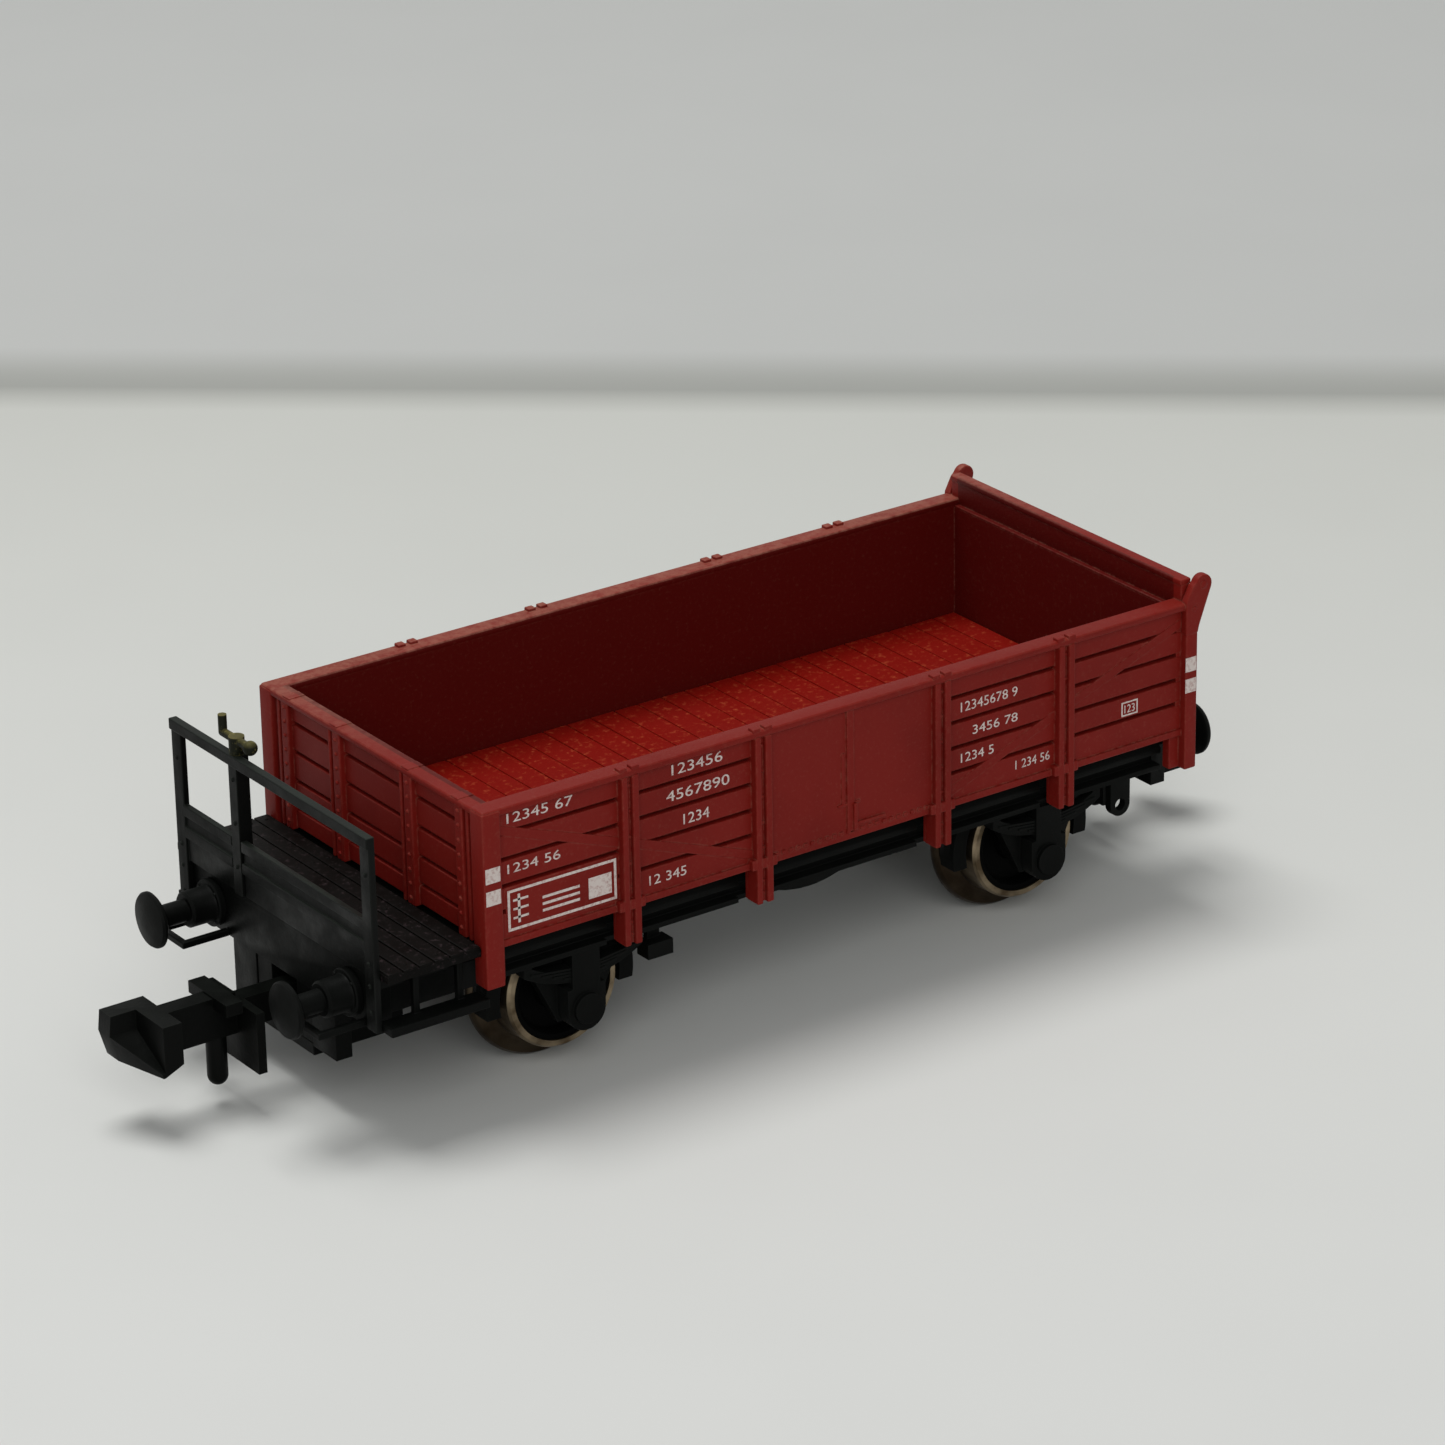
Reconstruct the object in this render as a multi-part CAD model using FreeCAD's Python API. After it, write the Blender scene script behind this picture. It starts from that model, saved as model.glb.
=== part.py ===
"""Open goods wagon with a brakeman's platform, N gauge, 1:160.

Frame: +X runs along the wagon from the platform end (-X) to the tipping end wall (+X), -Y is the lettered
side, +Z is up.  The origin is on the surface that the wheel flanges stand on, under the middle of the whole
length.
Lengths in millimetres.
"""
import FreeCAD, Part
import os
from math import pi, sin, sqrt

V = FreeCAD.Vector
Y_AXIS = V(0, 1, 0)
Z_AXIS = V(0, 0, 1)
SIDES = {"near": -1, "far": 1}

# ---------------------------------------------------------------- driving dimensions
# body
body_length = 37.8
body_width = 17.5            # over the faces of the side posts
side_bottom_z = 7.8
side_top_z = 14.2
wall = 0.6                   # thickness of the side sheet
post_width = 0.95
post_relief = 0.4            # how far a post stands out of the sheet
post_groove = 0.35           # width of the channel down the middle of a post
post_groove_depth = 0.2
post_foot_z = 6.2
door_width = 9.5             # between the centres of the door posts
bay_length = 6.8             # from a door post to the next post
rim_height = 0.35
sill_height = 0.5            # raised strip along the lower edge of a side
sill_relief = 0.15
brace_width = 0.42
brace_relief = 0.1
brace_top_drop = 0.9         # below the top of the side, at the corner post
brace_foot_rise = 0.5        # above the lower edge, at the door post
door_relief = 0.12
door_strip = 0.5             # strip that covers the joint of the two door leaves
end_post_pitch = 5.6         # between the two middle posts of an end wall
end_relief = 0.3             # how far an end post stands out of the end sheet
end_wall_raise = 1.0         # the tipping end wall above the sides
flap_step = 0.15             # the raised flap is this much thinner than the wall
horn_reach = 1.2             # hinge horn beyond the end of the body
horn_radius = 0.5
horn_width = 0.8
floor_thickness = 0.3
insert_thickness = 0.25      # planked floor insert
insert_clearance = 0.05

# platform
platform_length = 4.6        # from the body to the face of the buffer beam
deck_top_z = 8.15
deck_thickness = 0.45
deck_inset = 0.3             # from the side of the body
plank_pitch = 0.85
plank_groove = 0.08
rail_top_z = 14.15
rail_height = 0.5
rail_depth = 0.4
rail_post_width = 0.75
rail_post_depth = 0.3
railing_inset = 0.87         # from the side of the body
toe_board_top_z = 10.3
toe_board_step = 0.5         # height of each of the two raised planks of the toe board
toe_board_relief = 0.12
column_width = 0.65
column_depth = 0.65          # along the wagon
column_y = 2.85
column_foot = 0.35           # height of the flange on the deck, and how far it reaches past the column
crank_hub_height = 0.4       # from the rail to the crank's arm
crank_arm = 1.1
crank_handle_height = 0.8
crank_handle_radius = 0.19
apron_thickness = 0.3        # plate under each side of the deck
step_top_z = 5.75
step_thickness = 0.4
step_width = 1.0
step_inset = 0.15            # from the side of the body
step_hanger = 0.3

# running gear
wheelbase = 24.7
axle_setback = 5.55          # first axle behind the platform end of the body
tread_radius = 2.8
flange_height = 0.9
flange_width = 0.7
wheel_width = 2.2
back_to_back = 7.4
tyre_wall = 0.5
wheel_web = 0.8
hub_radius = 1.0
axle_radius = 0.75
journal_radius = 0.45
journal_clearance = 0.06
journal_length = 1.4         # of the thin end of the axle, past the wheel
cone_length = 0.35

# underframe
plate_bottom_z = 7.1
plate_thickness = 0.5
plate_clearance = 0.25       # between the underframe and the inside of the body's skirt
ballast_thickness = 0.5
ballast_edge = 0.9           # rim of the underframe around the ballast plate
solebar_depth = 0.85         # across the wagon, over the flanges
solebar_web = 0.3
solebar_bottom_z = 6.05
solebar_flange = 0.25
beam_thickness = 0.8
beam_half_width = 7.3
beam_bottom_z = 5.15
beam_notch_half_width = 2.9   # room for the rear coupling to lift and swing
beam_notch_height = 0.9
leg_inner = 2.2
leg_width = 1.85
leg_bottom_z = 2.5
wheel_slot_half_length = 2.4
wheel_slot_clearance = 0.4   # beside a wheel
guard_clearance = 0.45       # between a wheel and its axle guard
guard_thickness = 0.55
guard_top_half_width = 2.6
guard_foot_half_width = 0.95
guard_foot_drop = 1.0        # below the axle
axlebox_width = 1.9
axlebox_drop = 1.3           # below the axle
axlebox_rise = 0.75          # above the axle
lid_radius = 0.7
lid_relief = 0.2
buckle_width = 1.4
spring_half_span = 3.0
spring_sag = 0.85
spring_leaf_height = 0.5
spring_inset = 0.65          # from the outer face of the solebar
spring_width = 0.5
shoe_gap = 0.25              # between a brake block and the tread
shoe_thickness = 0.7
shoe_lower_angle = 10        # degrees below the axle that a brake block reaches
shoe_upper_angle = 45        # degrees above the axle
shoe_inset = 0.3             # from the flange
shoe_width = 1.0
hanger_size = 0.4
lever_length = 1.3           # end of the brake lever that shows under each solebar
lever_x = -6.2
lever_bottom_z = 4.7
lever_height = 0.7
link_bar_x = 1.55            # shallow curved bar under the door
link_bar_length = 3.2
link_bar_sag = 0.25
link_bar_thickness = 0.3
eye_setback = 3.5            # towing eye in front of the tipping end
eye_radius = 0.55
eye_drop = 1.1
eye_thickness = 0.4

# buffers and couplings
buffer_spacing = 10.94
buffer_z = 6.35
buffer_reach = 3.4
buffer_head_radius = 1.25
buffer_head_thickness = 0.5
buffer_dome_radius = 4.0
buffer_barrel_radius = 0.8
buffer_barrel_length = 1.5
buffer_collar_radius = 1.05
buffer_collar_length = 0.35
buffer_plunger_radius = 0.5
grip_bar = 0.3
grip_reach = 2.3
grip_half_width = 1.15
front_reach = 8.05           # coupling tip beyond the platform's buffer beam
rear_reach = 6.55            # coupling tip beyond the other buffer beam
rear_beam_setback = 0.6      # the other buffer beam, in from the end of the body
coupler_z = 4.0
coupler_length = 9.45        # from its pivot to its tip
tail_thickness = 0.6
tail_width = 2.4
tail_height = 1.6
tail_gap = 0.45              # room for the tail plate to swing and tilt
shank_width = 0.9
shank_height = 1.4
web_height = 1.9
web_top_z = 5.1
head_half_width = 1.6
hook_width = 0.95            # block on one side of the head that the other hook catches
hook_length = 1.3
head_bottom_z = 2.8
head_plate_thickness = 0.9
guard_setback = 4.0          # guard plate, from the pivot
guard_thickness_x = 0.4
guard_bottom_z = 1.9
guard_half_width = 2.1
crossbar_setback = 4.3
crossbar_width = 0.8
crossbar_half_width = 1.55
crossbar_bottom_z = 4.65
crossbar_top_z = 5.2
pin_setback = 4.8
pin_radius = 0.45
pin_bottom_z = 0.9
pocket_wall = 0.6
pocket_half_width = 2.15
pocket_mouth_half_width = 1.0
pocket_top_z = 5.15
pocket_bottom_z = 2.6
cover_thickness = 0.6
spring_wire = 0.2
spring_radius = 0.6
spring_turns = 5
spring_length = 1.6
spring_gap = 0.15

# ---------------------------------------------------------------- derived places
overall_length = front_reach + platform_length + body_length - rear_beam_setback + rear_reach
body_x0 = -overall_length / 2 + front_reach + platform_length
body_x1 = body_x0 + body_length
body_middle = (body_x0 + body_x1) / 2
front_beam_x = body_x0 - platform_length
rear_beam_x = body_x1 - rear_beam_setback
half_width = body_width / 2
sheet_y = half_width - post_relief
inner_y = sheet_y - wall
axle_z = tread_radius + flange_height
flange_radius = tread_radius + flange_height
wheel_inner = back_to_back / 2
wheel_outer = wheel_inner + wheel_width
guard_inner = wheel_outer + guard_clearance
guard_foot_z = axle_z - guard_foot_drop
axlebox_bottom_z = axle_z - axlebox_drop
axlebox_top_z = axle_z + axlebox_rise
solebar_inner = guard_inner + guard_thickness
solebar_outer = solebar_inner + solebar_depth
spring_inner = solebar_outer - spring_inset
journal_reach = wheel_outer + journal_length
shoe_inner = wheel_inner + flange_width + shoe_inset
deck_width = body_width - 2 * deck_inset
railing_width = body_width - 2 * railing_inset
axle_x = {"front": body_x0 + axle_setback, "rear": body_x0 + axle_setback + wheelbase}
plate_top_z = plate_bottom_z + plate_thickness
floor_bottom_z = plate_top_z + ballast_thickness
floor_top_z = floor_bottom_z + floor_thickness
insert_top_z = floor_top_z + insert_thickness
plate_half_width = inner_y - plate_clearance
deck_bottom_z = deck_top_z - deck_thickness
coupler_pivot = {
    "front": front_beam_x - front_reach + coupler_length,
    "rear": rear_beam_x + rear_reach - coupler_length,
}
coupler_heading = {"front": -1, "rear": 1}
beam_face = {"front": front_beam_x, "rear": rear_beam_x}
post_x = [
    body_middle - door_width / 2 - bay_length,
    body_middle - door_width / 2,
    body_middle + door_width / 2,
    body_middle + door_width / 2 + bay_length,
]


# ---------------------------------------------------------------- helpers
def box(x, y, z):
    """A box from three (low, high) pairs, in either order."""
    (x0, x1), (y0, y1), (z0, z1) = sorted(x), sorted(y), sorted(z)
    return Part.makeBox(x1 - x0, y1 - y0, z1 - z0, V(x0, y0, z0))


def rod(start, end, radius):
    direction = end - start
    return Part.makeCylinder(radius, direction.Length, start, direction)


def prism(points, direction):
    """A flat outline pushed along a direction."""
    wire = Part.makePolygon(points + [points[0]])
    return Part.Face(wire).extrude(direction)


def turned(profile, centre, axis):
    """A closed outline turned all the way round an axis."""
    wire = Part.makePolygon(profile + [profile[0]])
    return Part.Face(wire).revolve(centre, axis, 360)


def union(shapes):
    shapes = list(shapes)
    if len(shapes) == 1:
        return shapes[0]
    return shapes[0].multiFuse(shapes[1:]).removeSplitter()


def cut(shape, tools):
    return shape.cut(union(tools)).removeSplitter()


def facing(shape, end):
    """A shape drawn for the front end, turned round for the rear one."""
    if end == "rear":
        shape.rotate(V(0, 0, 0), Z_AXIS, 180)
    return shape


def on_side(side, inner, outer):
    """A (low, high) pair across the wagon, on the near or the far side."""
    return (SIDES[side] * inner, SIDES[side] * outer)


def save(name, shape):
    assert shape.isValid(), name
    shape.exportStep("parts/%s.step" % name)
    print("%-24s %2d solid(s) %9.3f mm3" % (name, len(shape.Solids), shape.Volume))


# ---------------------------------------------------------------- body
def channel_post(x, y, z, face, groove_axis):
    """A post with a channel down its outer face; face is the outer face's place along its normal."""
    post = box(x, y, z)
    if groove_axis == "x":
        middle = sum(x) / 2
        across = (middle - post_groove / 2, middle + post_groove / 2)
        inward = -post_groove_depth if face > 0 else post_groove_depth
        return post.cut(box(across, (face, face + inward), z))
    middle = sum(y) / 2
    across = (middle - post_groove / 2, middle + post_groove / 2)
    inward = -post_groove_depth if face > body_middle else post_groove_depth
    return post.cut(box((face, face + inward), across, z))


def side_wall(side):
    sign = SIDES[side]
    pieces = [box((body_x0, body_x1), on_side(side, inner_y, sheet_y), (side_bottom_z, side_top_z))]
    rim_z = (side_top_z - rim_height, side_top_z)
    pieces.append(box((body_x0, body_x1), on_side(side, inner_y, half_width), rim_z))
    sill_z = (side_bottom_z, side_bottom_z + sill_height)
    pieces.append(box((body_x0, body_x1), on_side(side, inner_y, sheet_y + sill_relief), sill_z))
    for x in post_x:
        span = (x - post_width / 2, x + post_width / 2)
        across = on_side(side, sheet_y, half_width)
        pieces.append(channel_post(span, across, (post_foot_z, side_top_z), sign * half_width, "x"))
        pieces.append(box(span, on_side(side, inner_y, sheet_y), (post_foot_z, side_bottom_z)))
    door_face = sheet_y + door_relief
    door_across = on_side(side, sheet_y, door_face)
    pieces.append(box((post_x[1], post_x[2]), door_across, (side_bottom_z, side_top_z)))
    strip_face = door_face + door_relief
    strip = (body_middle - door_strip / 2, body_middle + door_strip / 2)
    pieces.append(box(strip, on_side(side, sheet_y, strip_face), (side_bottom_z, side_top_z)))
    brace_face = sign * (sheet_y + brace_relief)
    brace_top_z = side_top_z - brace_top_drop
    brace_foot_z = side_bottom_z + brace_foot_rise
    ends = ((body_x0, post_x[1]), (body_x1, post_x[2]))
    for top_x, foot_x in ends:
        slant = sqrt((top_x - foot_x) ** 2 + (brace_top_z - brace_foot_z) ** 2)
        half_height = brace_width / 2 * slant / abs(top_x - foot_x)
        outline = [
            V(top_x, brace_face, brace_top_z + half_height),
            V(foot_x, brace_face, brace_foot_z + half_height),
            V(foot_x, brace_face, brace_foot_z - half_height),
            V(top_x, brace_face, brace_top_z - half_height),
        ]
        pieces.append(prism(outline, V(0, -sign * brace_relief, 0)))
    return pieces


def corner_posts():
    pieces = []
    for side in SIDES:
        for x, inward in ((body_x0, post_width), (body_x1, -post_width)):
            post_across = on_side(side, inner_y, half_width)
            pieces.append(box((x, x + inward), post_across, (post_foot_z, side_top_z)))
    return pieces


def end_wall(face, inward, bottom_z, top_z):
    """An end wall with its corner strips and two middle posts; inward is +1 or -1 along X."""
    sheet = face + inward * end_relief
    pieces = [box((sheet, sheet + inward * wall), (-sheet_y, sheet_y), (bottom_z, top_z))]
    pieces.append(box((face, sheet + inward * wall), (-sheet_y, sheet_y), (top_z - rim_height, top_z)))
    for middle in (-end_post_pitch / 2, end_post_pitch / 2):
        span = (middle - post_width / 2, middle + post_width / 2)
        pieces.append(channel_post((face, sheet), span, (bottom_z, top_z), face, "y"))
    return pieces


def hinge_horn(side):
    """The curled lug at each top corner of the tipping end wall."""
    across = on_side(side, half_width - horn_width, half_width)
    centre_x = body_x1 + horn_reach - horn_radius
    centre_z = side_top_z + end_wall_raise - horn_radius + 0.2
    curl = rod(V(centre_x, across[0], centre_z), V(centre_x, across[1], centre_z), horn_radius)
    arm = box((body_x1 - wall, centre_x), across, (centre_z, centre_z + horn_radius))
    cheek = box((body_x1 - wall, body_x1), across, (side_top_z - rim_height, centre_z + horn_radius))
    return [curl, arm, cheek]


def wagon_body():
    pieces = corner_posts()
    for side in SIDES:
        pieces += side_wall(side)
        pieces += hinge_horn(side)
    pieces += end_wall(body_x0, 1, deck_top_z, side_top_z)
    pieces += end_wall(body_x1, -1, side_bottom_z, side_top_z)
    flap = (body_x1 - flap_step, body_x1 - end_relief - wall)
    pieces.append(box(flap, (-sheet_y, sheet_y), (side_top_z, side_top_z + end_wall_raise)))
    inside = (body_x0 + end_relief, body_x1 - end_relief)
    pieces.append(box(inside, (-inner_y, inner_y), (floor_bottom_z, floor_top_z)))
    return union(pieces)


def floor_insert():
    gap = end_relief + wall + insert_clearance
    reach = inner_y - insert_clearance
    return box((body_x0 + gap, body_x1 - gap), (-reach, reach), (floor_top_z, insert_top_z))


# ---------------------------------------------------------------- underframe
def solebar(side):
    sign = SIDES[side]
    flange_top = solebar_bottom_z + solebar_flange
    shoulder_z = plate_bottom_z
    outline = [
        (solebar_inner, plate_top_z),
        (solebar_inner + 1.5 * solebar_web, plate_top_z),
        (solebar_outer, shoulder_z),
        (solebar_outer, shoulder_z - solebar_flange),
        (solebar_inner + solebar_web, shoulder_z - solebar_flange),
        (solebar_inner + solebar_web, flange_top),
        (solebar_outer, flange_top),
        (solebar_outer, solebar_bottom_z),
        (solebar_inner, solebar_bottom_z),
    ]
    start = body_x0 + post_width + plate_clearance
    length = body_length - 2 * (post_width + plate_clearance)
    return prism([V(start, sign * y, z) for y, z in outline], V(length, 0, 0))


def solebar_cuts(side):
    """Room in the solebar for the feet of the body's posts."""
    room = plate_clearance
    return [
        box(
            (x - post_width / 2 - room, x + post_width / 2 + room),
            on_side(side, inner_y - room, half_width),
            (solebar_bottom_z, plate_top_z),
        )
        for x in post_x
    ]


def axle_guard(side, x):
    """Axle guard, leaf spring, buckle and axlebox of one wheel, with the blind bearing hole."""
    sign = SIDES[side]
    inner = sign * guard_inner
    outline = [
        V(x - guard_top_half_width, inner, solebar_bottom_z),
        V(x - guard_foot_half_width, inner, guard_foot_z),
        V(x + guard_foot_half_width, inner, guard_foot_z),
        V(x + guard_top_half_width, inner, solebar_bottom_z),
        V(x + guard_top_half_width, inner, plate_bottom_z),
        V(x - guard_top_half_width, inner, plate_bottom_z),
    ]
    pieces = [prism(outline, V(0, sign * guard_thickness, 0))]
    box_across = on_side(side, guard_inner + guard_thickness, solebar_outer)
    half = axlebox_width / 2
    shoulder_z = axlebox_bottom_z + half
    pieces.append(box((x - half, x + half), box_across, (shoulder_z, axlebox_top_z)))
    pieces.append(rod(V(x, box_across[0], shoulder_z), V(x, box_across[1], shoulder_z), half))
    lid_z = shoulder_z + 0.1
    lid_back = V(x, box_across[1], lid_z)
    lid_front = V(x, box_across[1] + sign * lid_relief, lid_z)
    pieces.append(rod(lid_back, lid_front, lid_radius))
    half = buckle_width / 2
    pieces.append(box((x - half, x + half), box_across, (axlebox_top_z, solebar_bottom_z)))
    pieces.append(leaf_spring(side, x))
    for end in (-1, 1):
        hanger_x = x + end * (spring_half_span - hanger_size / 2)
        span = (hanger_x - hanger_size / 2, hanger_x + hanger_size / 2)
        across = on_side(side, solebar_inner, spring_inner + spring_width)
        pieces.append(box(span, across, (solebar_bottom_z - spring_leaf_height, solebar_bottom_z)))
    guard = union(pieces)
    hole_end = journal_reach + journal_clearance
    hole = rod(V(x, inner, axle_z), V(x, sign * hole_end, axle_z), journal_radius + journal_clearance)
    return guard.cut(hole)


def leaf_spring(side, x):
    """An arc that hangs from its two ends and rests on the axlebox."""
    radius = (spring_half_span**2 + spring_sag**2) / (2 * spring_sag)
    low_z = solebar_bottom_z - spring_leaf_height - spring_sag
    centre_z = low_z + radius
    across = on_side(side, spring_inner, spring_inner + spring_width)
    outer = rod(V(x, across[0], centre_z), V(x, across[1], centre_z), radius)
    inner = rod(V(x, across[0], centre_z), V(x, across[1], centre_z), radius - spring_leaf_height)
    band = box((x - spring_half_span, x + spring_half_span), across, (low_z, solebar_bottom_z))
    return outer.cut(inner).common(band)


def pocket(end):
    """The box that holds the tail of the coupling, drawn with its pivot at x = 0 and facing -X."""
    front = -(tail_thickness / 2 + tail_gap + pocket_wall)
    back = tail_thickness / 2 + spring_gap + spring_length + tail_gap
    inner = pocket_half_width - pocket_wall
    length = (front, back + pocket_wall)
    width = (-pocket_half_width, pocket_half_width)
    block = box(length, width, (pocket_bottom_z, plate_bottom_z))
    room = box((front + pocket_wall, back), (-inner, inner), (pocket_bottom_z, pocket_top_z))
    mouth_width = (-pocket_mouth_half_width, pocket_mouth_half_width)
    mouth = box((front, front + pocket_wall), mouth_width, (pocket_bottom_z, pocket_top_z))
    block = block.cut(room).cut(mouth)
    cover = box(length, width, (pocket_bottom_z - cover_thickness, pocket_bottom_z))
    placed = []
    for shape in (block, cover):
        facing(shape, end)
        shape.translate(V(coupler_pivot[end], 0, 0))
        placed.append(shape)
    return placed


def buffer_beam(end):
    face = beam_face[end]
    inward = -coupler_heading[end] * beam_thickness
    span = (face, face + inward)
    top_z = deck_bottom_z if end == "front" else plate_top_z
    pieces = [box(span, (-beam_half_width, beam_half_width), (beam_bottom_z, top_z))]
    if end == "front":
        for side in SIDES:
            across = on_side(side, leg_inner, leg_inner + leg_width)
            pieces.append(box(span, across, (leg_bottom_z, beam_bottom_z)))
    beam = union(pieces)
    if end == "rear":
        notch = (-beam_notch_half_width, beam_notch_half_width)
        beam = beam.cut(box(span, notch, (beam_bottom_z, beam_bottom_z + beam_notch_height)))
    return beam


def towing_eye(side):
    """A plate with a hole for the towing rope, under the solebar near the tipping end."""
    x = body_x1 - eye_setback
    across = on_side(side, solebar_outer - eye_thickness, solebar_outer)
    foot_z = solebar_bottom_z - eye_drop
    start = V(x, across[0], foot_z)
    stop = V(x, across[1], foot_z)
    plate = box((x - eye_radius, x + eye_radius), across, (foot_z, solebar_bottom_z))
    return plate.fuse(rod(start, stop, eye_radius)).cut(rod(start, stop, eye_radius / 2))


def brake_lever(side):
    """The end of the brake lever, on its bracket under the solebar."""
    across = on_side(side, solebar_inner, solebar_outer)
    lever_z = (lever_bottom_z, lever_bottom_z + lever_height)
    lever = box((lever_x - lever_length / 2, lever_x + lever_length / 2), across, lever_z)
    half = lever_length / 4
    bracket_across = on_side(side, solebar_inner, solebar_inner + solebar_web)
    bracket = box((lever_x - half, lever_x + half), bracket_across, (lever_bottom_z, solebar_bottom_z))
    return lever.fuse(bracket)


def link_bar(side):
    """A shallow curved bar under the solebar at the door."""
    half = link_bar_length / 2
    radius = (half**2 + link_bar_sag**2) / (2 * link_bar_sag)
    centre_z = solebar_bottom_z - link_bar_sag + radius
    across = on_side(side, solebar_outer - link_bar_thickness, solebar_outer)
    disc = rod(V(link_bar_x, across[0], centre_z), V(link_bar_x, across[1], centre_z), radius)
    span = (link_bar_x - half, link_bar_x + half)
    return disc.common(box(span, across, (solebar_bottom_z - link_bar_sag, solebar_bottom_z)))


def underframe():
    end_gap = end_relief + wall + plate_clearance
    x_span = (body_x0 + end_gap, body_x1 - end_gap)
    plate = box(x_span, (-plate_half_width, plate_half_width), (plate_bottom_z, floor_bottom_z))
    edge = ballast_edge
    recess = box(
        (x_span[0] + edge, x_span[1] - edge),
        (-plate_half_width + edge, plate_half_width - edge),
        (plate_top_z, floor_bottom_z),
    )
    slots = []
    for x in axle_x.values():
        for side in SIDES:
            span = (x - wheel_slot_half_length, x + wheel_slot_half_length)
            across = on_side(side, wheel_inner - wheel_slot_clearance, wheel_outer + wheel_slot_clearance)
            slots.append(box(span, across, (plate_bottom_z, plate_top_z)))
    pieces = [cut(plate, [recess] + slots)]
    narrow = inner_y - plate_clearance
    pieces.append(box((front_beam_x, x_span[0]), (-narrow, narrow), (plate_bottom_z, deck_bottom_z)))
    pieces.append(box((x_span[1], rear_beam_x), (-narrow, narrow), (plate_bottom_z, plate_top_z)))
    for side in SIDES:
        apron = on_side(side, solebar_inner, solebar_inner + apron_thickness)
        pieces.append(box((front_beam_x, x_span[0]), apron, (step_top_z, deck_bottom_z)))
        pieces.append(cut(solebar(side), solebar_cuts(side)))
        pieces.append(towing_eye(side))
        pieces.append(brake_lever(side))
        pieces.append(link_bar(side))
        for x in axle_x.values():
            pieces.append(axle_guard(side, x))
    for end in beam_face:
        pieces.append(buffer_beam(end))
        pieces.append(pocket(end)[0])
    return union(pieces)


def ballast_plate():
    inset = end_relief + wall + plate_clearance + ballast_edge + insert_clearance
    reach = plate_half_width - ballast_edge - insert_clearance
    return box((body_x0 + inset, body_x1 - inset), (-reach, reach), (plate_top_z, floor_bottom_z))


def brake_gear(x):
    """Four brake blocks on their hangers round one wheelset."""
    groups = []
    inner_radius = tread_radius + shoe_gap
    outer_radius = inner_radius + shoe_thickness
    low_z = axle_z - outer_radius * sin(shoe_lower_angle * pi / 180)
    high_z = axle_z + outer_radius * sin(shoe_upper_angle * pi / 180)
    for side in SIDES:
        across = on_side(side, shoe_inner, shoe_inner + shoe_width)
        start = V(x, across[0], axle_z)
        stop = V(x, across[1], axle_z)
        ring = rod(start, stop, outer_radius).cut(rod(start, stop, inner_radius))
        middle = sum(across) / 2
        hanger_across = (middle - hanger_size / 2, middle + hanger_size / 2)
        for heading in (-1, 1):
            window = box((x, x + heading * outer_radius), across, (low_z, high_z))
            hanger_x = x + heading * (outer_radius - hanger_size)
            span = (hanger_x, hanger_x + heading * hanger_size)
            hanger = box(span, hanger_across, (axle_z, plate_bottom_z))
            groups.append(union([ring.common(window), hanger]))
    return Part.makeCompound(groups)


# ---------------------------------------------------------------- platform
def platform_deck():
    gap = insert_clearance
    span = (front_beam_x, body_x0 - gap)
    width = (-deck_width / 2, deck_width / 2)
    deck = box(span, width, (deck_bottom_z, deck_top_z))
    grooves = []
    x = span[1] - plank_pitch
    while x > span[0] + plank_pitch / 2:
        groove = (x - plank_groove / 2, x + plank_groove / 2)
        grooves.append(box(groove, width, (deck_top_z - plank_groove, deck_top_z)))
        x -= plank_pitch
    return cut(deck, grooves)


def platform_railing():
    back = front_beam_x
    half = railing_width / 2
    pieces = []
    for side in SIDES:
        across = on_side(side, half - rail_post_width, half)
        pieces.append(box((back - rail_post_depth, back), across, (step_top_z - step_thickness, rail_top_z)))
    pieces.append(box((back - rail_depth, back), (-half, half), (rail_top_z - rail_height, rail_top_z)))
    across = (-half, half)
    board = (back - rail_post_depth + toe_board_relief, back)
    pieces.append(box(board, across, (deck_bottom_z, toe_board_top_z)))
    relief = (back - rail_post_depth, back)
    for top_z in (toe_board_top_z, toe_board_top_z - 2 * toe_board_step):
        pieces.append(box(relief, across, (top_z - toe_board_step, top_z)))
    notch_half = column_width / 2 + insert_clearance
    notch_across = (column_y - notch_half, column_y + notch_half)
    return union(pieces).cut(box(relief, notch_across, (deck_bottom_z, toe_board_top_z)))


def brake_column():
    """A square column in the toe board's notch, with a tongue behind the rail that carries the crank."""
    front = front_beam_x - rail_post_depth
    back = front + column_depth
    across = (column_y - column_width / 2, column_y + column_width / 2)
    post = box((front, back), across, (deck_bottom_z, rail_top_z))
    flange = (across[0] - column_foot, across[1] + column_foot)
    foot = box((front_beam_x, back + column_foot), flange, (deck_top_z, deck_top_z + column_foot))
    gap = insert_clearance
    rail_room = box((front - gap, front_beam_x + gap), across, (rail_top_z - rail_height - gap, rail_top_z))
    deck_room = box((front_beam_x - gap, back), across, (deck_bottom_z, deck_top_z))
    return cut(union([post, foot]), [rail_room, deck_room])


def brake_crank():
    x = front_beam_x
    arm_z = rail_top_z + crank_hub_height + crank_handle_radius
    hub_height = arm_z + crank_handle_radius - rail_top_z
    hub = Part.makeCylinder(1.8 * crank_handle_radius, hub_height, V(x, column_y, rail_top_z))
    arm = rod(V(x, column_y - crank_arm, arm_z), V(x, column_y + crank_arm, arm_z), crank_handle_radius)
    knee = Part.makeSphere(crank_handle_radius, V(x, column_y + crank_arm, arm_z))
    handle = Part.makeCylinder(crank_handle_radius, crank_handle_height, V(x, column_y + crank_arm, arm_z))
    weight = Part.makeSphere(1.7 * crank_handle_radius, V(x, column_y - crank_arm, arm_z))
    return union([hub, arm, knee, handle, weight])


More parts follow.
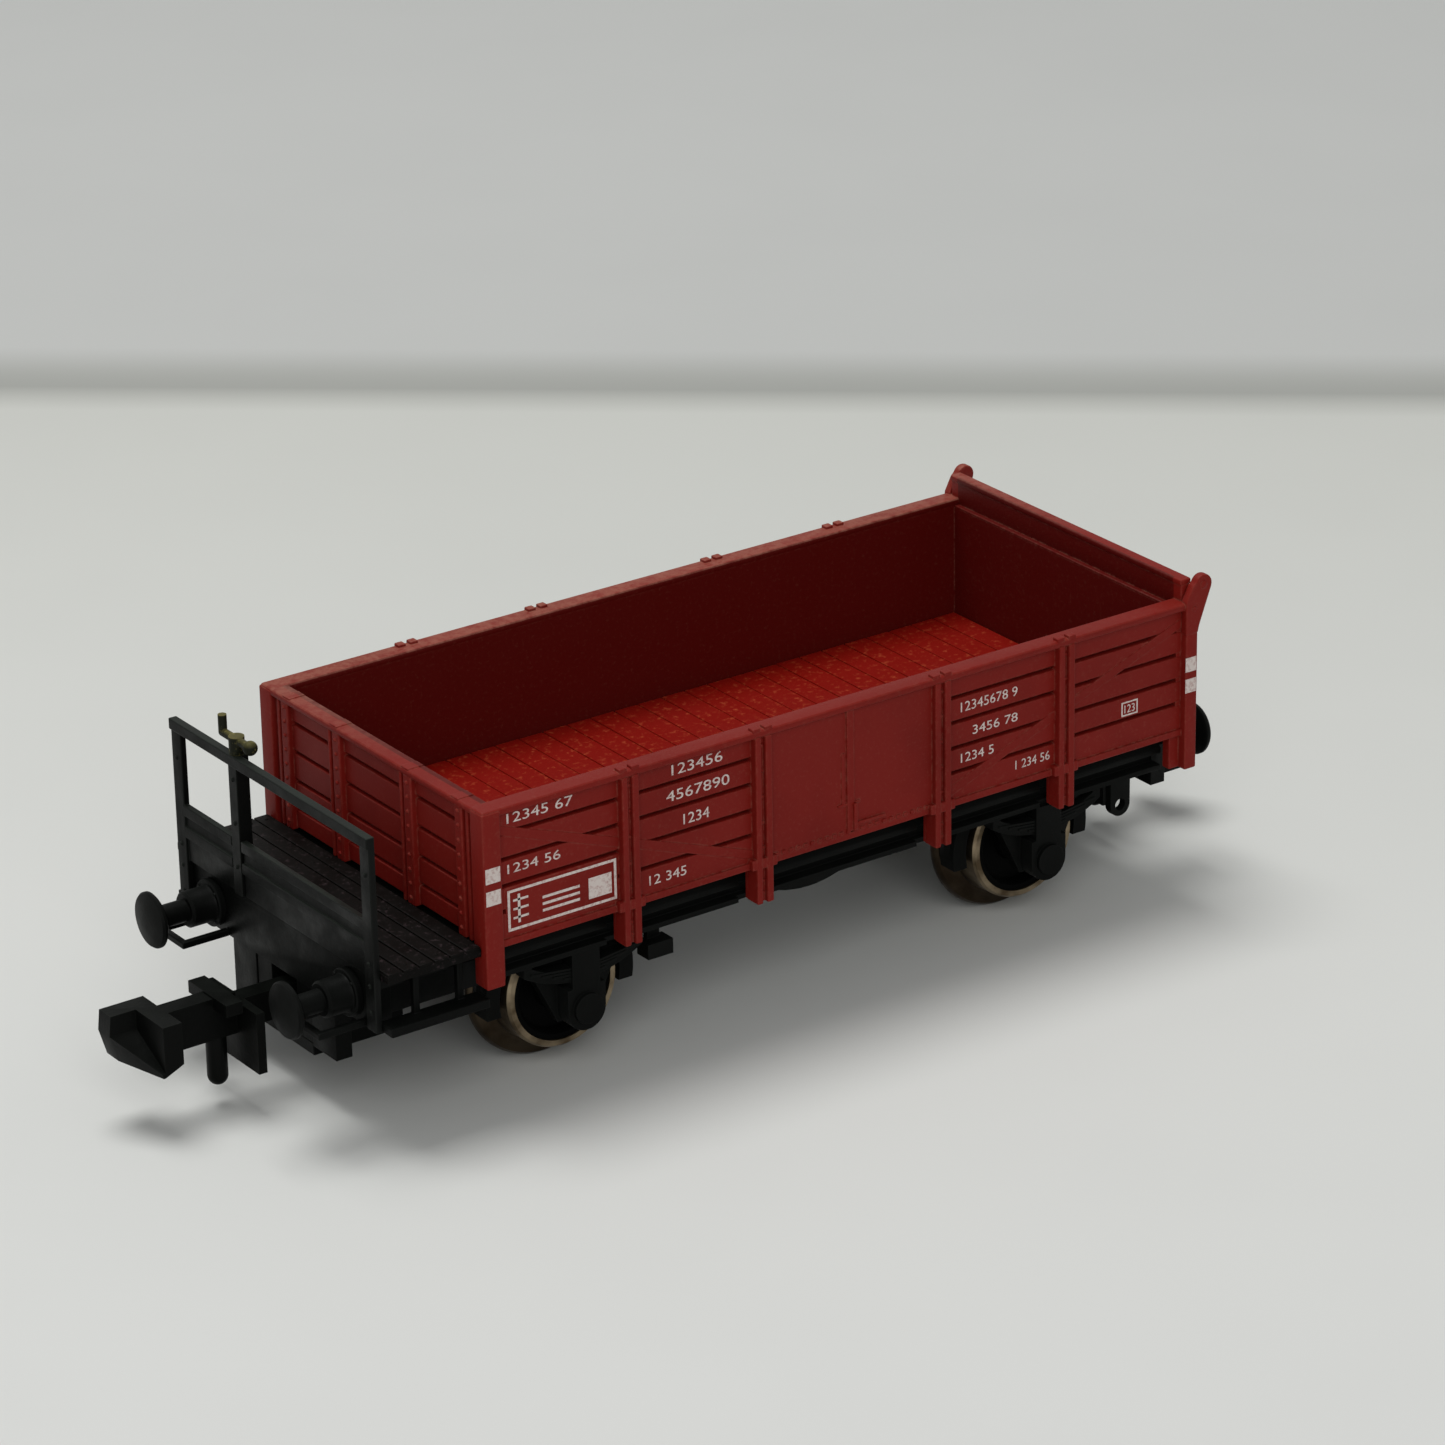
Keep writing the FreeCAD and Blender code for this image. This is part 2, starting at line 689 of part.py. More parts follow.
def step_board(side):
    outer = half_width - step_inset
    span = (front_beam_x, body_x0 + 0.2)
    board = box(span, on_side(side, outer - step_width, outer), (step_top_z - step_thickness, step_top_z))
    hangers = []
    for x in (front_beam_x + platform_length / 3, front_beam_x + 4 * platform_length / 5):
        inner = outer - step_width
        across = on_side(side, inner, inner + step_hanger)
        hangers.append(box((x, x + step_hanger), across, (step_top_z, deck_bottom_z)))
    return union([board] + hangers)


# ---------------------------------------------------------------- wheels
def axle(x):
    end = [
        (axle_radius, wheel_outer + 0.15),
        (journal_radius, wheel_outer + 0.15),
        (journal_radius, journal_reach - cone_length),
        (journal_radius / 3, journal_reach),
        (0, journal_reach),
    ]
    outline = [V(x + r, y, axle_z) for r, y in end] + [V(x + r, -y, axle_z) for r, y in reversed(end)]
    return turned(outline, V(x, 0, axle_z), Y_AXIS)


def tyre(side, x):
    inner = back_to_back / 2
    bore = tread_radius - tyre_wall
    outline = [
        (bore, inner),
        (flange_radius - 0.15, inner),
        (flange_radius, inner + 0.15),
        (flange_radius, inner + 0.35),
        (tread_radius + 0.12, inner + flange_width),
        (tread_radius, inner + flange_width + 0.15),
        (tread_radius - 0.06, inner + wheel_width),
        (bore, inner + wheel_width),
    ]
    return turned([V(x + r, SIDES[side] * y, axle_z) for r, y in outline], V(x, 0, axle_z), Y_AXIS)


def wheel_centre(side, x):
    inner = back_to_back / 2
    outer = inner + wheel_width
    rim = tread_radius - tyre_wall
    web_in = inner + (wheel_width - wheel_web) / 2
    web_out = web_in + wheel_web
    outline = [
        (axle_radius, inner),
        (hub_radius + 0.1, inner),
        (hub_radius + 0.3, web_in),
        (rim - 0.35, web_in),
        (rim - 0.25, inner + 0.2),
        (rim, inner + 0.2),
        (rim, outer - 0.1),
        (rim - 0.25, outer - 0.1),
        (rim - 0.35, web_out),
        (hub_radius + 0.3, web_out),
        (hub_radius + 0.1, outer),
        (axle_radius, outer),
    ]
    return turned([V(x + r, SIDES[side] * y, axle_z) for r, y in outline], V(x, 0, axle_z), Y_AXIS)


# ---------------------------------------------------------------- buffers and couplings
def buffer(end, side):
    """A buffer drawn facing -X with its foot at x = 0."""
    head_back = buffer_reach - buffer_head_thickness
    barrel_end = buffer_collar_length + buffer_barrel_length
    steps = [
        (0, buffer_collar_length, buffer_collar_radius),
        (buffer_collar_length, barrel_end, buffer_barrel_radius),
        (barrel_end, head_back, buffer_plunger_radius),
        (head_back, buffer_reach, buffer_head_radius),
    ]
    pieces = [rod(V(-start, 0, 0), V(-stop, 0, 0), radius) for start, stop, radius in steps]
    shape = union(pieces)
    dome = Part.makeSphere(buffer_dome_radius, V(-buffer_reach + buffer_dome_radius, 0, 0))
    shape = shape.common(dome)
    facing(shape, end)
    shape.translate(V(beam_face[end], SIDES[side] * buffer_spacing / 2, buffer_z))
    return shape


def shunter_grips(end):
    """A U-shaped hand grip under each buffer."""
    grips = []
    for side in SIDES:
        y = SIDES[side] * buffer_spacing / 2
        z = (beam_bottom_z, beam_bottom_z + grip_bar)
        outer = grip_half_width
        inner = grip_half_width - grip_bar
        arms = [box((-grip_reach, 0), (y + s * outer, y + s * inner), z) for s in (-1, 1)]
        arms.append(box((-grip_reach, -grip_reach + grip_bar), (y - outer, y + outer), z))
        grips.append(union(arms))
    group = Part.makeCompound(grips)
    facing(group, end)
    group.translate(V(beam_face[end], 0, 0))
    return group


def coupler_head():
    """The hook block, the plate behind it and the sloping lead-in wedge that joins them."""
    tip = -coupler_length
    back = tip + hook_length
    hook_y = head_half_width - hook_width
    brow_z = (web_top_z + head_bottom_z) / 2 + 0.25
    chin_z = head_bottom_z + 0.2
    jaw = [(tip, brow_z), (back, brow_z), (back, head_bottom_z), (tip + 0.35, chin_z)]
    block = [(tip, brow_z), (tip + 0.1, web_top_z), (back, web_top_z)] + jaw[2:]
    hook = prism([V(x, hook_y, z) for x, z in block], V(0, hook_width, 0))
    rear = back + head_plate_thickness
    plate = [(back, head_bottom_z), (back, web_top_z), (rear, web_top_z), (rear, chin_z + 0.2)]
    catch = prism([V(x, -head_half_width, z) for x, z in plate], V(0, 2 * head_half_width, 0))
    narrow = [(back - 0.15, chin_z), (back, chin_z), (back, head_bottom_z), (back - 0.1, head_bottom_z)]
    wires = []
    for y, outline in ((hook_y, jaw), (-head_half_width, narrow)):
        points = [V(x, y, z) for x, z in outline]
        wires.append(Part.makePolygon(points + [points[0]]))
    return [hook, catch, Part.makeLoft(wires, True, True)]


def coupler(end):
    """Hook coupling facing -X, its pivot at x = 0: tail, shank, guard, head and uncoupling pin."""
    tail_x = (-tail_thickness / 2, tail_thickness / 2)
    tail_z = (coupler_z - tail_height / 2, coupler_z + tail_height / 2)
    shank_y = (-shank_width / 2, shank_width / 2)
    shank_z = (coupler_z - shank_height / 2, coupler_z + shank_height / 2)
    web_x = (hook_length - coupler_length, -guard_setback)
    guard_x = (-guard_setback, guard_thickness_x - guard_setback)
    guard_y = (-guard_half_width, guard_half_width)
    bar_x = (-crossbar_setback - crossbar_width, -crossbar_setback)
    pieces = coupler_head()
    pieces.append(box(tail_x, (-tail_width / 2, tail_width / 2), tail_z))
    pieces.append(box((-guard_setback, 0), shank_y, shank_z))
    pieces.append(box(web_x, shank_y, (web_top_z - web_height, web_top_z)))
    pieces.append(box(guard_x, guard_y, (guard_bottom_z, shank_z[1])))
    bar_y = (-crossbar_half_width, crossbar_half_width)
    pieces.append(box(bar_x, bar_y, (crossbar_bottom_z, crossbar_top_z)))
    pin_foot = V(-pin_setback, 0, pin_bottom_z + pin_radius)
    pieces.append(rod(pin_foot, V(-pin_setback, 0, coupler_z), pin_radius))
    pieces.append(Part.makeSphere(pin_radius, pin_foot))
    shape = union(pieces)
    facing(shape, end)
    shape.translate(V(coupler_pivot[end], 0, 0))
    return shape


def coupler_spring(end):
    """The square-wire coil spring behind the tail plate."""
    start = tail_thickness / 2 + spring_gap + spring_wire / 2
    height = spring_length - spring_wire
    helix = Part.makeHelix(height / spring_turns, height, spring_radius)
    half = spring_wire / 2
    corners = [(-half, -half), (half, -half), (half, half), (-half, half), (-half, -half)]
    section = Part.makePolygon([V(spring_radius + x, 0, z) for x, z in corners])
    spring = Part.Wire(helix).makePipeShell([section], True, True)
    spring.rotate(V(0, 0, 0), Y_AXIS, 90)
    spring.translate(V(start, 0, coupler_z))
    facing(spring, end)
    spring.translate(V(coupler_pivot[end], 0, 0))
    return spring


# ---------------------------------------------------------------- writing
def main():
    os.makedirs("parts", exist_ok=True)
    save("wagon_body", wagon_body())
    save("floor_insert", floor_insert())
    save("ballast_plate", ballast_plate())
    save("underframe", underframe())
    save("platform_deck", platform_deck())
    save("platform_railing", platform_railing())
    save("brake_column", brake_column())
    save("brake_crank", brake_crank())
    for side in SIDES:
        save("step_board_" + side, step_board(side))
    for end in beam_face:
        x = axle_x[end]
        save(end + "_axle", axle(x))
        save(end + "_brake_gear", brake_gear(x))
        save(end + "_coupler", coupler(end))
        save(end + "_coupler_spring", coupler_spring(end))
        save(end + "_coupler_cover", pocket(end)[1])
        save(end + "_shunter_grips", shunter_grips(end))
        for side in SIDES:
            save("%s_tyre_%s" % (end, side), tyre(side, x))
            save("%s_wheel_centre_%s" % (end, side), wheel_centre(side, x))
            save("%s_buffer_%s" % (end, side), buffer(end, side))


main()
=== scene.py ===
# %% [markdown]
# # An open goods wagon in 1:160, finished in Blender
#
# The wagon's sizes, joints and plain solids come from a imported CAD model, called the frame.  This lesson
# gives it its looks: the planked red moulding, the black running gear, the metal tyres and the white print.
# All new pieces are drawn in millimetres, in the frame's own places, and become metres when they are
# finished.  X runs along the wagon from the platform end, -Y is the near side and Z is up.

# %% Load the frame
from math import atan2, cos, pi, radians, sin

import bmesh
import bpy
from mathutils import Matrix, Vector, noise


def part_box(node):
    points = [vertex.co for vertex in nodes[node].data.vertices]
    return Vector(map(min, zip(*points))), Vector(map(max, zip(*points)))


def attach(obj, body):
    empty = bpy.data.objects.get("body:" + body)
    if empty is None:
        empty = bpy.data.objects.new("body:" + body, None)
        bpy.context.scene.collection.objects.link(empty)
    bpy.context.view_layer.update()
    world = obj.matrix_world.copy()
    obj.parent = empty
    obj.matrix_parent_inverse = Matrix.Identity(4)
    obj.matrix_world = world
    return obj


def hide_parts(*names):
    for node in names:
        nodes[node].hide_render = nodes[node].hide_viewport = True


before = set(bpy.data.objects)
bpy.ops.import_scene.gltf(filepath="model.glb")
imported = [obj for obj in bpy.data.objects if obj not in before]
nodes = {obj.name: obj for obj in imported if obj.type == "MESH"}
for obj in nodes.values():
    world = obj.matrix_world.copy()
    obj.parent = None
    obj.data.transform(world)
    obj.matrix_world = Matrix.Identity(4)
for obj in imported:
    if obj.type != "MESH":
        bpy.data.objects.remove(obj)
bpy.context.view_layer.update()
MM = 0.001
NEAR, FAR = -1, 1
ENDS = {"front": -1, "rear": 1}


def node_box(name):
    """The lowest and highest corner of a CAD node, in millimetres."""
    low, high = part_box(name)
    return low / MM, high / MM


body_low, body_high = node_box("wagon_body")
print("body", [round(v, 2) for v in body_low], [round(v, 2) for v in body_high])

# %% [markdown]
# ## Helpers for shapes
#
# Nearly every part of a plastic moulding is a box with slightly rounded edges, because a mould is milled
# with small round cutters.  One helper adds such a box, one adds a rod, one a rivet head and one a turned
# shape.  They all add to a bmesh, so that one moulding ends up as one mesh object.

# %% Boxes, rods, rivets and turned shapes
def edges_of(verts):
    return list({edge for vert in verts for edge in vert.link_edges})


def add_block(bm, x, y, z, rounding=0.05, segments=2):
    """A box from three (low, high) pairs, with its edges rounded."""
    spans = [sorted(pair) for pair in (x, y, z)]
    size = [high - low for low, high in spans]
    middle = [(high + low) / 2 for low, high in spans]
    verts = bmesh.ops.create_cube(bm, size=1)["verts"]
    bmesh.ops.scale(bm, vec=size, verts=verts)
    bmesh.ops.translate(bm, vec=middle, verts=verts)
    if rounding:
        offset = min(rounding, 0.45 * min(size))
        bmesh.ops.bevel(bm, geom=edges_of(verts), offset=offset, offset_type="OFFSET", affect="EDGES",
                        segments=segments, profile=0.5, material=-1, clamp_overlap=True)


def add_slat(bm, start, end, across, thickness, rounding=0.03):
    """A flat strip in the XZ plane from one (x, z) point to another; across is its (low, high) in Y."""
    run = Vector((end[0] - start[0], 0, end[1] - start[1]))
    verts = bmesh.ops.create_cube(bm, size=1)["verts"]
    bmesh.ops.scale(bm, vec=(run.length, abs(across[1] - across[0]), thickness), verts=verts)
    turn = Matrix.Rotation(-atan2(run.z, run.x), 3, "Y")
    bmesh.ops.rotate(bm, cent=(0, 0, 0), matrix=turn, verts=verts)
    middle = Vector(((start[0] + end[0]) / 2, sum(across) / 2, (start[1] + end[1]) / 2))
    bmesh.ops.translate(bm, vec=middle, verts=verts)
    if rounding:
        bmesh.ops.bevel(bm, geom=edges_of(verts), offset=rounding, offset_type="OFFSET", affect="EDGES",
                        segments=2, profile=0.5, material=-1, clamp_overlap=True)


def pointing(direction):
    """The turn that takes +Z to a direction."""
    return Vector((0, 0, 1)).rotation_difference(Vector(direction)).to_matrix()


def add_rod(bm, start, end, radius, tip_radius=None, sides=32, rounding=0.0):
    """A round bar or cone between two points."""
    start, end = Vector(start), Vector(end)
    tip = radius if tip_radius is None else tip_radius
    place = Matrix.Translation((start + end) / 2) @ pointing(end - start).to_4x4()
    made = bmesh.ops.create_cone(bm, cap_ends=True, segments=sides, radius1=radius, radius2=tip,
                                 depth=(end - start).length, matrix=place)
    if rounding:
        rims = [edge for edge in edges_of(made["verts"])
                if any(len(face.verts) == sides for face in edge.link_faces)]
        bmesh.ops.bevel(bm, geom=rims, offset=rounding, offset_type="OFFSET", affect="EDGES", segments=3,
                        profile=0.5, material=-1, clamp_overlap=True)


def add_rivet(bm, place, direction, radius=0.1, height=0.07, sides=8):
    """A domed rivet or bolt head, half sunk in the face that it sits on."""
    made = bmesh.ops.create_uvsphere(bm, u_segments=sides, v_segments=5, radius=1)["verts"]
    bmesh.ops.scale(bm, vec=(radius, radius, height), verts=made)
    bmesh.ops.rotate(bm, cent=(0, 0, 0), matrix=pointing(direction), verts=made)
    bmesh.ops.translate(bm, vec=place, verts=made)


def add_own(bm, own):
    """Adds a shape that was made in a bmesh of its own."""
    part = bpy.data.meshes.new("part")
    own.to_mesh(part)
    own.free()
    bm.from_mesh(part)
    bpy.data.meshes.remove(part)


def add_plate(bm, outline, y, rounding=0.05):
    """A closed outline of (x, z) points, made a plate from one y to another, with its edges rounded."""
    own = bmesh.new()
    face = own.faces.new([own.verts.new((x, y[0], z)) for x, z in outline])
    moved = bmesh.ops.extrude_face_region(own, geom=[face])["geom"]
    verts = [item for item in moved if isinstance(item, bmesh.types.BMVert)]
    bmesh.ops.translate(own, vec=(0, y[1] - y[0], 0), verts=verts)
    bmesh.ops.recalc_face_normals(own, faces=own.faces)
    bmesh.ops.bevel(own, geom=own.edges[:], offset=rounding, offset_type="OFFSET", affect="EDGES",
                    segments=2, profile=0.5, material=-1, clamp_overlap=True)
    add_own(bm, own)


def add_turned(bm, outline, centre, axis=(0, 1, 0), steps=96):
    """An open outline of (distance along the axis, radius) points, spun all the way round."""
    own = bmesh.new()
    turn = pointing(axis)
    verts = [own.verts.new(turn @ Vector((radius, 0, along))) for along, radius in outline]
    edges = [own.edges.new(pair) for pair in zip(verts, verts[1:])]
    bmesh.ops.spin(own, geom=verts + edges, cent=(0, 0, 0), axis=turn @ Vector((0, 0, 1)), angle=2 * pi,
                   steps=steps, use_merge=True)
    bmesh.ops.remove_doubles(own, verts=own.verts, dist=1e-5)
    bmesh.ops.recalc_face_normals(own, faces=own.faces)
    bmesh.ops.translate(own, vec=centre, verts=own.verts)
    add_own(bm, own)


# %% [markdown]
# A finished piece goes from millimetres to metres with its place in its mesh.  It rides on a CAD body,
# stands for the CAD nodes that it replaces and is given its material.

# %% Finish a piece
def finish_piece(name, bm, material, body, stands_for=(), smooth_angle=20):
    """Turns a bmesh in millimetres into an object that rides on a CAD body."""
    bmesh.ops.scale(bm, vec=(MM, MM, MM), verts=bm.verts)
    mesh = bpy.data.meshes.new(name)
    bm.to_mesh(mesh)
    bm.free()
    mesh.shade_smooth()
    mesh.set_sharp_from_angle(angle=radians(smooth_angle))
    piece = bpy.data.objects.new(name, mesh)
    bpy.context.scene.collection.objects.link(piece)
    mesh.materials.append(material)
    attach(piece, body)
    if stands_for:
        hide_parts(*stands_for)
    print(name, len(mesh.polygons), "faces on", body)
    return piece


def rounded_copy(node, rounding=0.05, segments=2, edge_angle=30):
    """A bmesh in millimetres with a CAD node's shape, its doubles merged and its sharp edges rounded."""
    bm = bmesh.new()
    bm.from_mesh(nodes[node].data)
    bmesh.ops.scale(bm, vec=(1 / MM, 1 / MM, 1 / MM), verts=bm.verts)
    bmesh.ops.remove_doubles(bm, verts=bm.verts, dist=1e-4)
    bmesh.ops.dissolve_limit(bm, angle_limit=radians(1), verts=bm.verts, edges=bm.edges)
    sharp = [edge for edge in bm.edges
             if len(edge.link_faces) == 2 and edge.calc_face_angle() > radians(edge_angle)]
    bmesh.ops.bevel(bm, geom=sharp, offset=rounding, offset_type="OFFSET", affect="EDGES", segments=segments,
                    profile=0.5, material=-1, clamp_overlap=True)
    return bm


# %% [markdown]
# ## Finishes
#
# A material is written as its real colour in sRGB hex and turned to linear light by one function.  One small
# function adds a node with its settings and its links.  Patterns are sized in millimetres: the Object
# coordinate is in metres, so a pattern with a grain of g mm has a noise scale of 1000 / g.

# %% Colours and nodes
def srgb(code):
    """A hex colour as linear RGBA."""
    parts = [int(code[i:i + 2], 16) / 255 for i in (1, 3, 5)]
    return [p / 12.92 if p <= 0.04045 else ((p + 0.055) / 1.055) ** 2.4 for p in parts] + [1]


def add_node(tree, kind, settings=None, links=None):
    """A node of a kind; settings are its properties or its inputs' values, links its inputs' sources."""
    node = tree.nodes.new("ShaderNode" + kind)
    for key, value in (settings or {}).items():
        if isinstance(key, str) and hasattr(node, key):
            setattr(node, key, value)
        else:
            node.inputs[key].default_value = value
    for key, source in (links or {}).items():
        tree.links.new(source, node.inputs[key])
    return node


def new_material(name, roughness, metallic=0.0, **shader_values):
    """A material with a Principled shader; returns it with its tree, shader and Object coordinate."""
    material = bpy.data.materials.new(name)
    material.use_nodes = True
    tree = material.node_tree
    shader = tree.nodes["Principled BSDF"]
    shader.inputs["Roughness"].default_value = roughness
    shader.inputs["Metallic"].default_value = metallic
    for key, value in shader_values.items():
        shader.inputs[key.replace("_", " ")].default_value = value
    place = add_node(tree, "TexCoord").outputs["Object"]
    return material, tree, shader, place


def grain(mm):
    """The noise scale whose features are about this many millimetres across."""
    return 1 / (mm * MM)


def spread(tree, value, from_low, from_high, to_low, to_high):
    """A value stretched from one range to another and kept inside it."""
    settings = {"From Min": from_low, "From Max": from_high, "To Min": to_low, "To Max": to_high}
    return add_node(tree, "MapRange", settings, {"Value": value}).outputs["Result"]


def blend(tree, factor, first, second):
    """Two colours mixed; each is a hex code or the output of another node."""
    mixed = add_node(tree, "Mix", {"data_type": "RGBA"}, {"Factor": factor})
    for socket, colour in ((6, first), (7, second)):
        if isinstance(colour, str):
            mixed.inputs[socket].default_value = srgb(colour)
        else:
            tree.links.new(colour, mixed.inputs[socket])
    return mixed.outputs[2]


def add_noise(tree, place, grain_mm, detail=3.0, roughness=0.5):
    """A cloudy pattern with features of about this many millimetres."""
    settings = {"Scale": grain(grain_mm), "Detail": detail, "Roughness": roughness}
    return add_node(tree, "TexNoise", settings, {"Vector": place}).outputs["Fac"]


def add_bump(tree, shader, height, strength, depth_mm):
    bump = add_node(tree, "Bump", {"Strength": strength, "Distance": depth_mm * MM}, {"Height": height})
    tree.links.new(bump.outputs["Normal"], shader.inputs["Normal"])


def set_ramp(ramp, stops):
    """Fills a colour ramp from (position, colour) pairs."""
    elements = ramp.color_ramp.elements
    while len(elements) < len(stops):
        elements.new(0.5)
    for element, (position, colour) in zip(elements, stops):
        element.position = position
        element.color = colour



# %% [markdown]
# ### Red moulding
#
# The body is injection-moulded polystyrene in an oxide red, matt from the mould's spark-eroded skin.
# Its proud edges are a little paler and chalky: partly handling wear, partly a painted highlight.  The rim
# tops pale towards the far side, wear and painted highlight too, and the walls inside the load space get a
# darker red as painted shade.  Fine dust and cloudy patches make the surface uneven.  A Bevel node compares
# the rounded normal with the true one: they differ only near an edge, which gives a mask of the edges that
# is the same from every side.  The specular level is below the default, here and on the black plastics: it
# was matched to how deep the shaded faces look, and isn't a value of the material.

# %% Red polystyrene
def edge_mask(tree, radius_mm, low, high):
    """1 near a convex or concave edge, 0 on a flat face."""
    soft = add_node(tree, "Bevel", {"samples": 4, "Radius": radius_mm * MM}).outputs["Normal"]
    true_normal = add_node(tree, "NewGeometry").outputs["Normal"]
    same = add_node(tree, "VectorMath", {"operation": "DOT_PRODUCT"}, {0: soft, 1: true_normal})
    return spread(tree, same.outputs["Value"], high, low, 0, 1)


load_middle, load_half_length, load_half_width = 3.35, 18.3, 7.8


def inside_painted_shade_mask(tree, place):
    """1 within the load space, whose walls get a darker red as painted shade, 0 outside it."""
    axes = add_node(tree, "SeparateXYZ", {}, {0: place}).outputs
    masks = []
    for axis, middle, reach in (("X", load_middle, load_half_length), ("Y", 0, load_half_width)):
        away = add_node(tree, "Math", {"operation": "SUBTRACT", 1: middle * MM}, {0: axes[axis]}).outputs[0]
        size = add_node(tree, "Math", {"operation": "ABSOLUTE"}, {0: away}).outputs[0]
        masks.append(add_node(tree, "Math", {"operation": "LESS_THAN", 1: reach * MM}, {0: size}).outputs[0])
    return add_node(tree, "Math", {"operation": "MULTIPLY"}, {0: masks[0], 1: masks[1]}).outputs[0]


def rim_wear_and_painted_sheen(tree, place, speck):
    """Paler patches on the rim tops, growing from the near side to the far one: wear and a painted
    highlight.
    """
    axes = add_node(tree, "SeparateXYZ", {}, {0: place}).outputs
    up = add_node(tree, "SeparateXYZ", {}, {0: add_node(tree, "NewGeometry").outputs["Normal"]}).outputs["Z"]
    high = spread(tree, axes["Z"], 14.0 * MM, 14.15 * MM, 0, 1)
    # The painted highlight grows from the near rim to the far one.
    side = spread(tree, axes["Y"], -2 * MM, 8 * MM, 0.03, 0.42)
    amount = spread(tree, up, 0.2, 0.8, 0, 1)
    for part in (high, side, spread(tree, speck, 0.35, 0.6, 0.3, 1)):
        amount = add_node(tree, "Math", {"operation": "MULTIPLY"}, {0: amount, 1: part}).outputs[0]
    return amount


def red_polystyrene(name, base, chalk_and_sheen, dark, inner, grain_mm=0.12, rough=0.55, edge_paling=0.3, dust=0.1):
    material, tree, shader, place = new_material(name, rough, Specular_IOR_Level=0.14)
    cloud = add_noise(tree, place, 5, 3.0, 0.55)
    speck = add_noise(tree, place, 0.35, 4.0, 0.65)
    tone = blend(tree, spread(tree, cloud, 0.45, 0.75, 0, 0.55), base, dark)
    # Inside the load space the red turns darker: painted shade on the inner walls.
    tone = blend(tree, inside_painted_shade_mask(tree, place), tone, inner)
    # Edges turn paler: partly handling wear, partly a painted highlight.
    edges = edge_mask(tree, 0.12, 0.80, 0.985)
    paler_edges = add_node(tree, "Math", {"operation": "MULTIPLY"},
                      {0: edges, 1: spread(tree, speck, 0.4, 0.65, 0.0, edge_paling)}).outputs[0]
    tone = blend(tree, paler_edges, tone, chalk_and_sheen)
    tone = blend(tree, rim_wear_and_painted_sheen(tree, place, speck), tone, chalk_and_sheen)
    fine = add_noise(tree, place, grain_mm * 1.5, 4.0, 0.7)
    tone = blend(tree, spread(tree, fine, 0.55, 0.75, 0, dust), tone, chalk_and_sheen)
    tree.links.new(tone, shader.inputs["Base Color"])
    add_bump(tree, shader, add_noise(tree, place, grain_mm), 0.3, grain_mm / 6)
    tree.links.new(spread(tree, cloud, 0, 1, rough - 0.08, rough + 0.12), shader.inputs["Roughness"])
    return material


# The body's last colour is the darker red painted as shade inside the load space.
body_red = red_polystyrene("moulded_polystyrene_red", "#76160F", "#A4705E", "#600F09", "#540804")
floor_red = red_polystyrene("grained_polystyrene_floor", "#7C0D04", "#C4603A", "#580703", "#7C0D04",
                            grain_mm=0.22, rough=0.45, edge_paling=0.05, dust=0.5)

# %% [markdown]
# ### Black moulding
#
# The frame, railing, couplings and wheel centres are black acetal and polystyrene, also matt from the
# mould.  Black plastic is seen mostly by what it reflects, so its roughness varies and a thin grey-brown
# dust lies on the faces that point up.  The deck carries brown flecks.

# %% Black plastics
def black_plastic(name, base, dust, dust_amount, roughness=0.42, fleck=None, specular=0.06):
    material, tree, shader, place = new_material(name, roughness, Specular_IOR_Level=specular)
    cloud = add_noise(tree, place, 1.6, 5.0, 0.6)
    up = add_node(tree, "SeparateXYZ", {}, {0: add_node(tree, "NewGeometry").outputs["Normal"]}).outputs["Z"]
    lying = add_node(tree, "Math", {"operation": "MULTIPLY"},
                     {0: spread(tree, up, 0.3, 1, 0, dust_amount),
                      1: spread(tree, cloud, 0.35, 0.7, 0.25, 1)})
    tone = blend(tree, lying.outputs[0], base, dust)
    paler_edges = add_node(tree, "Math", {"operation": "MULTIPLY", 1: 0.35},
                      {0: edge_mask(tree, 0.1, 0.8, 0.985)})
    tone = blend(tree, paler_edges.outputs[0], tone, dust)
    if fleck:
        spots = add_noise(tree, place, 0.3, 5.0, 0.75)
        tone = blend(tree, spread(tree, spots, 0.56, 0.66, 0, 0.85), tone, fleck)
    tree.links.new(tone, shader.inputs["Base Color"])
    tree.links.new(spread(tree, cloud, 0.3, 0.7, roughness - 0.08, roughness + 0.18),
                   shader.inputs["Roughness"])
    add_bump(tree, shader, add_noise(tree, place, 0.15), 0.3, 0.02)
    return material


frame_black = black_plastic("moulded_polystyrene_black", "#080908", "#1E201E", 0.25)
deck_black = black_plastic("weathered_deck_black", "#080706", "#161311", 0.4, roughness=0.5, fleck="#332A2C")
railing_black = black_plastic("railing_polystyrene_black", "#090A09", "#303630", 0.6, specular=0.09)
coupler_black = black_plastic("coupling_acetal_black", "#070807", "#161A16", 0.3, roughness=0.36)
wheel_black = black_plastic("wheel_centre_acetal_black", "#050505", "#0C0B0A", 0.2, specular=0.03)

# %% [markdown]
# ### Metals
#
# The tyres are turned from nickel silver and chemically darkened, so they look like dull bronze with fine
# turning rings.  The rings depend on the distance from the axle: noise is read along that radius, so that
# they stay round as the wheel turns.

# %% Metals
TREAD = 2.8


